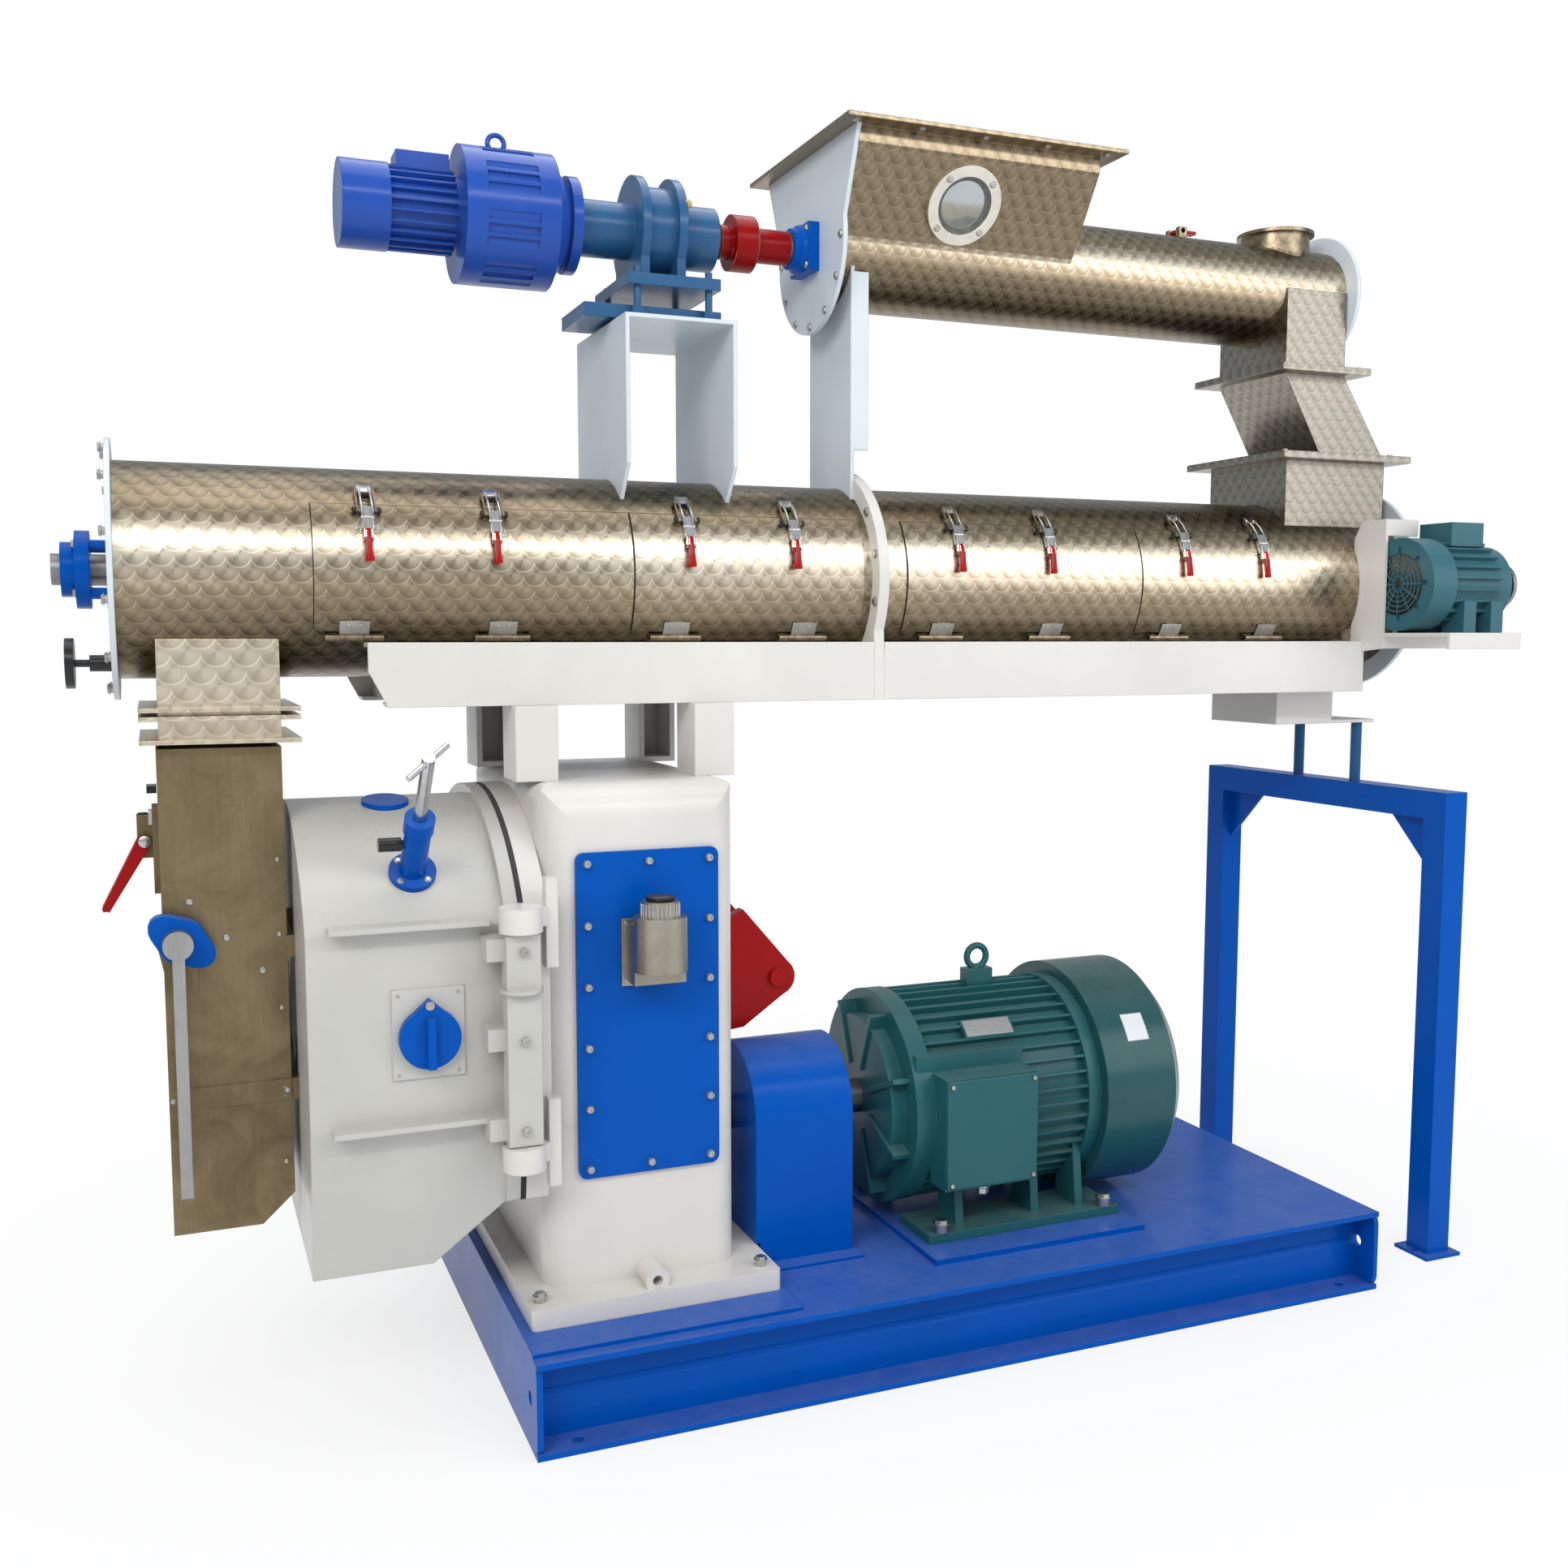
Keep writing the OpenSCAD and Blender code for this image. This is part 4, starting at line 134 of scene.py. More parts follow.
def makePaintGroup():
    g, gin, gout = newGroup("paintedSurface", [
        ("Color", "Color", (0.8, 0.8, 0.8, 1)), ("Rub and highlight", "Color", (0.7, 0.7, 0.7, 1)),
        ("Cloud", "Float", 0.06), ("Peel", "Float", 0.04), ("Gloss", "Float", 0.35), ("Edge", "Float", 0.35)])
    calc = calcFor(g)
    spot = addNode(g, "ShaderNodeTexCoord").outputs["Object"]
    cloud = noiseOn(g, spot, in_Scale=3.2, in_Detail=5.0, in_Roughness=0.6)
    fine = noiseOn(g, spot, in_Scale=230.0, in_Detail=2.0)
    grime = noiseOn(g, spot, in_Scale=11.0, in_Detail=8.0, in_Roughness=0.7)
    softEdge = addNode(g, "ShaderNodeBevel", samples=4, in_Radius=paintWearAndHighlight["softEdge"])
    geo = addNode(g, "ShaderNodeNewGeometry")
    dot = addNode(g, "ShaderNodeVectorMath", operation="DOT_PRODUCT")
    link(g, softEdge.outputs[0], dot.inputs[0])
    link(g, geo.outputs["True Normal"], dot.inputs[1])
    # paler edges: partly rubbed paint, partly a painted highlight along every edge
    edge = calc("SUBTRACT", paintWearAndHighlight["edgeFrom"], dot.outputs["Value"], True)
    edge = calc("MULTIPLY", edge, paintWearAndHighlight["edgeGain"], True)
    edge = calc("MULTIPLY", edge, calc("GREATER_THAN", grime, paintWearAndHighlight["edgeBreak"]), True)
    edge = calc("MULTIPLY", edge, gin.outputs["Edge"], True)
    amount = calc("MULTIPLY", calc("SUBTRACT", cloud, 0.5), gin.outputs["Cloud"])
    shade = calc("ADD", 1.0, calc("MULTIPLY", amount, paintWearAndHighlight["cloudGain"]))
    upward = calc("SUBTRACT", splitVector(g, geo.outputs["Normal"])[2], paintWearAndHighlight["dustFrom"], True)
    dust = calc("MULTIPLY", upward, calc("MULTIPLY", grime, paintWearAndHighlight["dustShare"]), True)
    color = mixColor(g, dust, scaleColor(g, gin.outputs["Color"], shade), paintWearAndHighlight["dustColor"])
    link(g, mixColor(g, edge, color, gin.outputs["Rub and highlight"]), gout.inputs["Color"])
    rough = calc("MULTIPLY", calc("SUBTRACT", grime, 0.5), paintWearAndHighlight["glossSpan"])
    link(g, calc("ADD", gin.outputs["Gloss"], rough, True), gout.inputs["Roughness"])
    sendNormal(g, gout, softEdge, fine, paintWearAndHighlight["peelDeep"], gin.outputs["Peel"])
    return g


# rolled or ground steel with streaks along one axis and faint stains
steelWear = {"softEdge": 0.0025, "stainFrom": 0.42, "stainGain": 3.0, "toneLow": 0.82, "toneSpan": 0.36,
             "streakRough": 0.14, "stainRough": 0.18, "grainDeep": 0.0004, "grainStrength": 0.25}


def makeSteelGroup():
    g, gin, gout = newGroup("groundSteel", [
        ("Color", "Color", (0.6, 0.6, 0.6, 1)), ("Stain", "Color", (0.3, 0.25, 0.2, 1)),
        ("Grain", "Vector", (6.0, 120.0, 120.0)), ("Stains", "Float", 0.5), ("Gloss", "Float", 0.3)])
    calc = calcFor(g)
    spot = addNode(g, "ShaderNodeTexCoord").outputs["Object"]
    stretch = addNode(g, "ShaderNodeVectorMath", operation="MULTIPLY")
    link(g, spot, stretch.inputs[0])
    link(g, gin.outputs["Grain"], stretch.inputs[1])
    streak = noiseOn(g, stretch.outputs[0], in_Scale=3.0, in_Detail=6.0, in_Roughness=0.65)
    stain = noiseOn(g, spot, in_Scale=5.0, in_Detail=7.0, in_Roughness=0.62, in_Distortion=1.2)
    mask = calc("SUBTRACT", stain, steelWear["stainFrom"], True)
    mask = calc("MULTIPLY", mask, steelWear["stainGain"], True)
    mask = calc("MULTIPLY", mask, gin.outputs["Stains"], True)
    color = mixColor(g, mask, gin.outputs["Color"], gin.outputs["Stain"])
    tone = calc("ADD", steelWear["toneLow"], calc("MULTIPLY", streak, steelWear["toneSpan"]))
    link(g, scaleColor(g, color, tone), gout.inputs["Color"])
    rough = calc("ADD", calc("MULTIPLY", streak, steelWear["streakRough"]),
                 calc("MULTIPLY", mask, steelWear["stainRough"]))
    link(g, calc("ADD", gin.outputs["Gloss"], rough, True), gout.inputs["Roughness"])
    softEdge = addNode(g, "ShaderNodeBevel", samples=4, in_Radius=steelWear["softEdge"])
    sendNormal(g, gout, softEdge, streak, steelWear["grainDeep"], steelWear["grainStrength"])
    return g


# engine turned steel: rows of overlapping ground discs, wrapped round an axis along X or laid flat
# bands of painted reflection round the tube: painted highlight and painted shade, from the top at 0 to the
# bottom at 1
discs = {"rowStep": 0.62, "discR": 0.56, "rimR": 0.53, "rimSharp": 22.0, "cupFrom": 0.22, "cupGain": 1.5,
         "bowTurn": 0.6, "rings": 120.0, "flatTone": 0.36, "patchLow": 0.6, "patchSpan": 0.8,
         "bowAndPaintedSheen": 0.16, "paintedRimHighlight": 0.30, "cupAndPaintedShade": 0.30, "wash": 0.20, "band": 0.75, "rough": 0.24,
         "cupRough": 0.12, "bowRough": 0.08, "softEdge": 0.003, "deep": 0.0008, "strength": 0.30,
         "ringHeight": 0.10, "cupHeight": -0.8, "sideFace": 0.7, "tubeSkin": 0.007}
paintedLightBands = ((0.0, 0.30), (0.20, 0.08), (0.32, 0.38), (0.42, 1.0), (0.52, 0.66), (0.64, 0.22), (0.74, 0.0),
         (1.0, 0.30))


def makeTurnedGroup():
    g, gin, gout = newGroup("engineTurned", [
        ("Light", "Color", (0.90, 0.81, 0.66, 1)), ("Middle", "Color", (0.33, 0.262, 0.175, 1)),
        ("Dark", "Color", (0.058, 0.048, 0.032, 1)), ("Axis height", "Float", 1.95),
        ("Radius", "Float", 0.244), ("Pitch", "Float", 0.034), ("Painted light band", "Float", 0.5),
        ("Base", "Float", 0.0)])
    calc = calcFor(g)
    spot = addNode(g, "ShaderNodeTexCoord").outputs["Object"]
    geo = addNode(g, "ShaderNodeNewGeometry")
    p = splitVector(g, spot)
    height = calc("SUBTRACT", p[2], gin.outputs["Axis height"])
    angle = calc("ARCTAN2", p[1], height)
    reach = calc("SQRT", calc("ADD", calc("MULTIPLY", height, height), calc("MULTIPLY", p[1], p[1])))
    normalX = splitVector(g, geo.outputs["True Normal"])[0]
    facesX = calc("GREATER_THAN", calc("ABSOLUTE", normalX), discs["sideFace"])
    offTube = calc("GREATER_THAN", reach, calc("ADD", gin.outputs["Radius"], discs["tubeSkin"]))
    flat = calc("MAXIMUM", facesX, offTube)
    u = mixValue(g, facesX, p[1], p[0])
    v = mixValue(g, flat, p[2], calc("MULTIPLY", angle, gin.outputs["Radius"]))
    along = calc("DIVIDE", u, gin.outputs["Pitch"])
    across = calc("DIVIDE", v, calc("MULTIPLY", gin.outputs["Pitch"], discs["rowStep"]))
    rowIndex = calc("FLOOR", across)

    # place within the disc of this row (0) or of the row above (-1)
    def disc(offset):
        index = calc("SUBTRACT", rowIndex, float(offset))
        half = calc("MULTIPLY", calc("FLOORED_MODULO", index, 2.0), 0.5)
        x = calc("SUBTRACT", calc("FRACT", calc("ADD", along, half)), 0.5)
        y = calc("MULTIPLY", calc("SUBTRACT", across, index), discs["rowStep"])
        return x, y, calc("SQRT", calc("ADD", calc("MULTIPLY", x, x), calc("MULTIPLY", y, y)))

    near, far = disc(-1), disc(0)
    onNear = calc("LESS_THAN", near[2], discs["discR"])
    x, y, dist = [mixValue(g, onNear, a, b) for a, b in zip(near, far)]
    # painted sheen: a lighter bow-tie across each disc; the same mask also varies the roughness
    bowAndPaintedSheen = calc("ABSOLUTE", calc("COSINE", calc("ADD", calc("ARCTAN2", y, x), discs["bowTurn"])))
    # painted highlight: a thin bright rim round each disc
    offRim = calc("ABSOLUTE", calc("SUBTRACT", discs["rimR"], near[2]))
    paintedRimHighlight = calc("SUBTRACT", 1.0, calc("MULTIPLY", offRim, discs["rimSharp"]), True)
    # painted shade: darker towards each disc's edge; the same mask also shapes the bump and the roughness
    cupAndPaintedShade = calc("MULTIPLY", calc("SUBTRACT", dist, discs["cupFrom"], True), discs["cupGain"], True)
    ringLine = calc("SINE", calc("MULTIPLY", dist, discs["rings"]))
    wash = noiseOn(g, spot, in_Scale=2.2, in_Detail=4.0)
    patch = noiseOn(g, spot, in_Scale=1.0, in_Detail=1.0)
    ramp = addNode(g, "ShaderNodeValToRGB")
    while len(ramp.color_ramp.elements) < len(paintedLightBands):
        ramp.color_ramp.elements.new(0.5)
    for element, (at, tone) in zip(ramp.color_ramp.elements, paintedLightBands):
        element.position = at
        element.color = (tone, tone, tone, 1)
    link(g, calc("DIVIDE", calc("ABSOLUTE", angle), math.pi), ramp.inputs[0])
    # painted reflection: painted highlight and painted shade round the tube by its angle, an even tone on
    # flat sheet
    paintedLightAround = mixValue(g, flat, discs["flatTone"], ramp.outputs[0])
    patchy = calc("ADD", calc("MULTIPLY", patch, discs["patchSpan"]), discs["patchLow"])
    band = calc("MULTIPLY", calc("MULTIPLY", paintedLightAround, patchy), gin.outputs["Painted light band"])
    tone = calc("SUBTRACT", calc("MULTIPLY", paintedRimHighlight, discs["paintedRimHighlight"]), calc("MULTIPLY", cupAndPaintedShade, discs["cupAndPaintedShade"]))
    tone = calc("ADD", calc("MULTIPLY", bowAndPaintedSheen, discs["bowAndPaintedSheen"]), tone)
    tone = calc("ADD", tone, calc("MULTIPLY", wash, discs["wash"]))
    base = calc("ADD", calc("MULTIPLY", band, discs["band"]), gin.outputs["Base"])
    tone = calc("ADD", tone, base, True)
    lower = mixColor(g, calc("MULTIPLY", tone, 2.0, True), gin.outputs["Dark"], gin.outputs["Middle"])
    upper = calc("SUBTRACT", calc("MULTIPLY", tone, 2.0), 1.0, True)
    link(g, mixColor(g, upper, lower, gin.outputs["Light"]), gout.inputs["Color"])
    rough = calc("ADD", calc("MULTIPLY", cupAndPaintedShade, discs["cupRough"]), calc("MULTIPLY", bowAndPaintedSheen, discs["bowRough"]))
    link(g, calc("ADD", discs["rough"], rough), gout.inputs["Roughness"])
    softEdge = addNode(g, "ShaderNodeBevel", samples=4, in_Radius=discs["softEdge"])
    cupRelief = calc("MULTIPLY", cupAndPaintedShade, discs["cupHeight"])
    relief = calc("ADD", calc("MULTIPLY", ringLine, discs["ringHeight"]), cupRelief)
    sendNormal(g, gout, softEdge, relief, discs["deep"], discs["strength"])
    return g


paintGroup = makePaintGroup()
steelGroup = makeSteelGroup()
turnedGroup = makeTurnedGroup()


def opaque(rgb):
    return (*rgb, 1)


def newMaterial(name):
    mat = bpy.data.materials.new(name)
    mat.use_nodes = True
    return mat, mat.node_tree, mat.node_tree.nodes["Principled BSDF"]


def addGroup(tree, group, values):
    use = addNode(tree, "ShaderNodeGroup", node_tree=group)
    for key, value in values.items():
        use.inputs[key].default_value = value
    return use


def shaderFrom(name, group, values, metallic=0.0, coat=0.0, specular=0.4):
    mat, tree, bsdf = newMaterial(name)
    use = addGroup(tree, group, values)
    link(tree, use.outputs["Color"], bsdf.inputs["Base Color"])
    link(tree, use.outputs["Roughness"], bsdf.inputs["Roughness"])
    link(tree, use.outputs["Normal"], bsdf.inputs["Normal"])
    bsdf.inputs["Metallic"].default_value = metallic
    bsdf.inputs["Coat Weight"].default_value = coat
    bsdf.inputs["Coat Roughness"].default_value = 0.12
    bsdf.inputs["Specular IOR Level"].default_value = specular
    return mat


# each paint: colour, colour of the paler edges (rubbed paint and painted highlight), gloss, coat, edge wear
# and painted edge highlight, specular level
paints = {
    "bluePaint": ((0.0, 0.078, 0.41), (0.01, 0.15, 0.52), 0.24, 0.0, 0.2, 0.08),
    "royalPaint": ((0.016, 0.070, 0.36), (0.08, 0.16, 0.46), 0.22, 0.05, 0.2, 0.22),
    "navyPaint": ((0.018, 0.090, 0.215), (0.04, 0.12, 0.24), 0.28, 0.05, 0.3, 0.3),
    "whitePaint": ((0.66, 0.635, 0.60), (0.74, 0.72, 0.69), 0.32, 0.08, 0.3, 0.35),
    # painted shade: the door's white is a darker copy of the white paint, standing in for the shade on it
    "doorShadedWhite": ((0.50, 0.49, 0.455), (0.62, 0.61, 0.58), 0.30, 0.10, 0.3, 0.4),
    "coolWhite": ((0.60, 0.655, 0.70), (0.72, 0.75, 0.78), 0.32, 0.08, 0.3, 0.35),
    "redPaint": ((0.36, 0.001, 0.002), (0.50, 0.03, 0.03), 0.24, 0.03, 0.2, 0.16),
    "darkTealPaint": ((0.014, 0.098, 0.108), (0.06, 0.19, 0.19), 0.34, 0.03, 0.3, 0.25),
    # painted shade: the cowl colour is darkened below the body's teal to stand in for the shadow on it
    "cowlShadedPaint": ((0.012, 0.075, 0.080), (0.07, 0.20, 0.20), 0.28, 0.05, 0.3, 0.3),
    "tealPaint": ((0.030, 0.120, 0.155), (0.12, 0.25, 0.28), 0.36, 0.05, 0.3, 0.25),
    "blackPlastic": ((0.008, 0.008, 0.009), (0.05, 0.05, 0.05), 0.26, 0.1, 0.4, 0.4),
    "gasketRubber": ((0.026, 0.028, 0.030), (0.07, 0.07, 0.07), 0.60, 0.0, 0.3, 0.3),
    "blankLabel": ((0.68, 0.70, 0.73), (0.7, 0.7, 0.7), 0.42, 0.0, 0.0, 0.3),
    "brassPlug": ((0.46, 0.27, 0.05), (0.6, 0.42, 0.15), 0.25, 0.1, 0.2, 0.5),
}
# each steel: colour, stain, grain along X, Y and Z, stains, gloss
steels = {
    "zincSteel": ((0.52, 0.52, 0.50), (0.32, 0.30, 0.26), (40, 40, 40), 0.4, 0.26),
    "chromeSteel": ((0.60, 0.60, 0.60), (0.34, 0.34, 0.35), (30, 30, 8), 0.6, 0.12),
    "castNickel": ((0.42, 0.39, 0.33), (0.24, 0.21, 0.17), (30, 30, 30), 0.7, 0.30),
    "chuteSteel": ((0.265, 0.206, 0.120), (0.150, 0.112, 0.060), (50, 50, 4), 0.9, 0.34),
    "machinedSteel": ((0.30, 0.30, 0.31), (0.15, 0.14, 0.13), (60, 14, 14), 0.5, 0.32),
    "ringSteel": ((0.78, 0.75, 0.68), (0.60, 0.57, 0.50), (8, 8, 8), 0.3, 0.36),
    "plateSteel": ((0.50, 0.50, 0.48), (0.22, 0.22, 0.22), (4, 80, 80), 0.7, 0.30),
    "greySteel": ((0.42, 0.42, 0.42), (0.26, 0.25, 0.24), (60, 60, 6), 0.5, 0.30),
}
# each engine turned sheet: axis height, radius (-1 for flat sheet), disc pitch, painted reflection band, base
# tone, middle tone
turned = {
    "barrelSteel": (mill["barrelZ"], 0.244, 0.052, 1.0, -0.06, (0.33, 0.262, 0.175)),
    "feederSteel": (mill["feedZ"], 0.144, 0.046, 0.85, -0.06, (0.33, 0.262, 0.175)),
    "ductSteel": (2.45, -1.0, 0.044, 0.9, -0.02, (0.31, 0.285, 0.245)),
    "outletSteel": (1.2, -1.0, 0.062, 0.9, 0.36, (0.42, 0.335, 0.22)),
}
finish = {}
for name, (color, rubAndHighlight, gloss, coat, edge, specular) in paints.items():
    values = {"Color": opaque(color), "Rub and highlight": opaque(rubAndHighlight), "Gloss": gloss, "Edge": edge}
    finish[name] = shaderFrom(name, paintGroup, values, coat=coat, specular=specular)
for name, (color, stain, grain, stains, gloss) in steels.items():
    values = {"Color": opaque(color), "Stain": opaque(stain), "Grain": grain, "Stains": stains,
              "Gloss": gloss}
    finish[name] = shaderFrom(name, steelGroup, values, metallic=1.0)
for name, (height, radius, pitch, band, base, middle) in turned.items():
    values = {"Axis height": height, "Radius": radius, "Pitch": pitch, "Painted light band": band, "Base": base,
              "Middle": opaque(middle)}
    finish[name] = shaderFrom(name, turnedGroup, values, metallic=1.0)

glass = {"rough": 0.04, "filmRough": 0.14, "dark": (0.40, 0.46, 0.48, 1), "pale": (0.62, 0.66, 0.67, 1),
         "clear": 0.88, "ior": 1.45}


# sight glass under a thin film of meal dust
def makeGlass():
    mat, tree, bsdf = newMaterial("sightGlass")
    calc = calcFor(tree)
    spot = addNode(tree, "ShaderNodeTexCoord").outputs["Object"]
    film = noiseOn(tree, spot, in_Scale=14.0, in_Detail=6.0)
    rough = calc("ADD", glass["rough"], calc("MULTIPLY", film, glass["filmRough"]))
    link(tree, rough, bsdf.inputs["Roughness"])
    link(tree, mixColor(tree, film, glass["dark"], glass["pale"]), bsdf.inputs["Base Color"])
    bsdf.inputs["Transmission Weight"].default_value = glass["clear"]
    bsdf.inputs["IOR"].default_value = glass["ior"]
    return mat


finish["sightGlass"] = makeGlass()


# two finishes on one node: high where a coordinate passes the limit and the height stays under the top
def splitFinish(name, axis, limit, low, high, top=None):
    mat, tree, bsdf = newMaterial(name)
    calc = calcFor(tree)
    place = splitVector(tree, addNode(tree, "ShaderNodeTexCoord").outputs["Object"])
    bsdf.inputs["Specular IOR Level"].default_value = 0.15
    mask = calc("GREATER_THAN", place[axis], limit)
    if top is not None:
        mask = calc("MULTIPLY", mask, calc("LESS_THAN", place[2], top))
    lowUse, highUse = addGroup(tree, *low), addGroup(tree, *high)
    color = mixColor(tree, mask, lowUse.outputs["Color"], highUse.outputs["Color"])
    rough = mixValue(tree, mask, highUse.outputs["Roughness"], lowUse.outputs["Roughness"])
    metalLow, metalHigh = [1.0 if kind == steelGroup else 0.0 for kind in (low[0], high[0])]
    link(tree, color, bsdf.inputs["Base Color"])
    link(tree, rough, bsdf.inputs["Roughness"])
    link(tree, highUse.outputs["Normal"], bsdf.inputs["Normal"])
    metal = calc("ADD", metalLow, calc("MULTIPLY", mask, metalHigh - metalLow))
    link(tree, metal, bsdf.inputs["Metallic"])
    return mat


redOn = (paintGroup, {"Color": (0.24, 0.001, 0.002, 1), "Gloss": 0.28})
blueOn = (paintGroup, {"Color": opaque(paints["navyPaint"][0]), "Gloss": 0.3})
chromeOn = (steelGroup, {"Color": opaque(steels["chromeSteel"][0]), "Grain": (30, 30, 8), "Gloss": 0.14})
shaftOn = (steelGroup, {"Color": (0.5, 0.5, 0.5, 1), "Grain": (60, 10, 10), "Gloss": 0.24})
zincOn = (steelGroup, {"Color": opaque(steels["zincSteel"][0]), "Grain": (30, 30, 8), "Gloss": 0.26})
splits = {"couplingX": -0.33, "leverZ": 2.022, "studX": 1.49, "studTop": 1.56}
finish["screwAndCoupling"] = splitFinish("screwAndCoupling", 0, splits["couplingX"], redOn, shaftOn)
finish["latchLever"] = splitFinish("latchLever", 2, splits["leverZ"], redOn, chromeOn)
finish["boltsAndStuds"] = splitFinish("boltsAndStuds", 0, splits["studX"], zincOn, blueOn, splits["studTop"])

midFlange = {"x": -0.180, "half": 0.0146, "r": 0.2452}


# white paint on the flange pair in the middle of the barrel, turned steel on the rest
def makeBarrelMaterial():
    mat = finish["barrelSteel"].copy()
    mat.name = "barrelWithFlange"
    tree = mat.node_tree
    bsdf = tree.nodes["Principled BSDF"]
    calc = calcFor(tree)
    steel = next(n for n in tree.nodes if n.type == "GROUP")
    paint = addGroup(tree, paintGroup, {"Color": opaque(paints["whitePaint"][0])})
    place = splitVector(tree, addNode(tree, "ShaderNodeTexCoord").outputs["Object"])
    height = calc("SUBTRACT", place[2], mill["barrelZ"])
    square = calc("ADD", calc("MULTIPLY", height, height), calc("MULTIPLY", place[1], place[1]))
    outside = calc("GREATER_THAN", square, midFlange["r"] ** 2)
    away = calc("ABSOLUTE", calc("SUBTRACT", place[0], midFlange["x"]))
    mask = calc("MULTIPLY", outside, calc("LESS_THAN", away, midFlange["half"]))
    color = mixColor(tree, mask, steel.outputs["Color"], paint.outputs["Color"])
    rough = mixValue(tree, mask, paint.outputs["Roughness"], steel.outputs["Roughness"])
    link(tree, color, bsdf.inputs["Base Color"])
    link(tree, rough, bsdf.inputs["Roughness"])
    link(tree, calc("SUBTRACT", 1.0, mask), bsdf.inputs["Metallic"])
    return mat


finish["barrelWithFlange"] = makeBarrelMaterial()
print("finishes made", len(finish))

nodeFinish = {
    "bluePaint": ["base_frame", "gearbox_cover", "coupling_guard", "portal_frame", "shaft_bearings",
                  "cutter_post", "door_knob"],
    "royalPaint": ["feeder_motor"],
    "navyPaint": ["feeder_reducer"],
    "cowlShadedPaint": ["motor_cowl"],
    "whitePaint": ["gearbox_housing", "die_casing", "hinge_bracket", "conditioner_supports", "support_beams"],
    "doorShadedWhite": ["mill_door"],
    "coolWhite": ["barrel_end_plates", "feeder_end_plates", "feeder_post", "drive_bracket"],
    "boltsAndStuds": ["fasteners"],
    "chromeSteel": ["cutter_screw"],
    "castNickel": ["oil_filler"],
    "greySteel": ["chute_lever"],
    "ringSteel": ["sight_glass_ring"],
    "redPaint": ["shear_pin_bracket", "feeder_latch", "chute_clamp"],
    "gasketRubber": ["casing_gasket"],
    "darkTealPaint": ["main_motor"],
    "barrelWithFlange": ["conditioner_barrel"],
    "barrelSteel": ["barrel_door_1", "barrel_door_2", "barrel_door_3", "barrel_door_4"],
    "feederSteel": ["feeder_trough"],
    "ductSteel": ["inlet_duct"],
    "outletSteel": ["outlet_duct"],
    "chuteSteel": ["discharge_chute"],
    "machinedSteel": ["roller_carrier", "ring_die", "drive_gear", "press_roller_1", "press_roller_2",
                      "motor_rotor", "mixer_pulley", "mixing_rotor"],
    "tealPaint": ["mixer_motor"],
    "sightGlass": ["sight_glass"],
    "blackPlastic": ["cutter_lock", "hand_knob"],
    "screwAndCoupling": ["feeder_screw"],
    "latchLever": ["latch_%d" % i for i in range(1, 9)],
}
for key, names in nodeFinish.items():
    for name in names:
        mesh = nodes[name].data
        mesh.materials.clear()
        mesh.materials.append(finish[key])


# mesh helpers
def newPiece(name, bm, mat, body, smooth=True, bevel=0.0):
    mesh = bpy.data.meshes.new(name)
    bmesh.ops.recalc_face_normals(bm, faces=bm.faces[:])
    bm.to_mesh(mesh)
    bm.free()
    obj = bpy.data.objects.new(name, mesh)
    scene.collection.objects.link(obj)
    mesh.materials.append(finish[mat])
    if bevel > 0:
        mod = obj.modifiers.new("softEdges", "BEVEL")
        mod.width = bevel
        mod.segments = 2
        mod.limit_method = "ANGLE"
    if smooth:
        for poly in mesh.polygons:
            poly.use_smooth = True
        mesh.set_sharp_from_angle(angle=math.radians(35))
    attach(obj, body)


# a turned shape from (radius, height) pairs, from bottom to top; it closes where the last pair is the first
def addTurned(bm, profile, origin, axis, steps=24):
    turn = Vector(toTop).rotation_difference(Vector(axis)).to_matrix().to_4x4()
    place = Matrix.Translation(Vector(origin)) @ turn
    circle = [(math.cos(2 * math.pi * k / steps), math.sin(2 * math.pi * k / steps)) for k in range(steps)]
    rings = []
    isLoop = profile[0] == profile[-1]
    for r, h in profile[:-1] if isLoop else profile:
        if r < 1e-6:
            rings.append([bm.verts.new(place @ Vector((0, 0, h)))])
        else:
            rings.append([bm.verts.new(place @ Vector((r * c, r * s, h))) for c, s in circle])
    if isLoop:
        rings.append(rings[0])
    for a, b in zip(rings, rings[1:]):
        for k in range(steps):
            n = (k + 1) % steps
            if len(a) == 1:
                bm.faces.new((a[0], b[k], b[n]))
            elif len(b) == 1:
                bm.faces.new((a[k], a[n], b[0]))
            else:
                bm.faces.new((a[k], a[n], b[n], b[k]))


# screw heads as shares of their size: hex head on a washer, and socket head
hexHead = {"washerR": 1.25, "washerT": 0.16, "flatR": 0.97, "flatT": 0.2, "tall": 0.62, "taper": 0.86}
socketHead = [(0, 0), (1, 0), (1, 0.75), (0.88, 0.95), (0.5, 0.95), (0.5, 0.45), (0, 0.45)]


def addHexBolt(bm, origin, axis, size):
    washerR, washerT = size * hexHead["washerR"], size * hexHead["washerT"]
    addTurned(bm, [(0, 0), (washerR, 0), (washerR, washerT), (0, washerT)], origin, axis)
    tall, taper = size * hexHead["tall"], hexHead["taper"]
    head = [(0, washerT), (size * hexHead["flatR"], washerT), (size, size * hexHead["flatT"]),
            (size, tall * taper), (size * taper, tall), (0, tall)]
    addTurned(bm, head, origin, axis, steps=6)


def addSocketScrew(bm, origin, axis, size):
    addTurned(bm, [(r * size, h * size) for r, h in socketHead], origin, axis, steps=20)


# a low round head: foot radius, shoulder radius, shoulder height, full height
def addRivet(bm, origin, axis, shape, steps=14):
    foot, shoulder, low, tall = shape
    addTurned(bm, [(0, 0), (foot, 0), (shoulder, low), (0, tall)], origin, axis, steps)


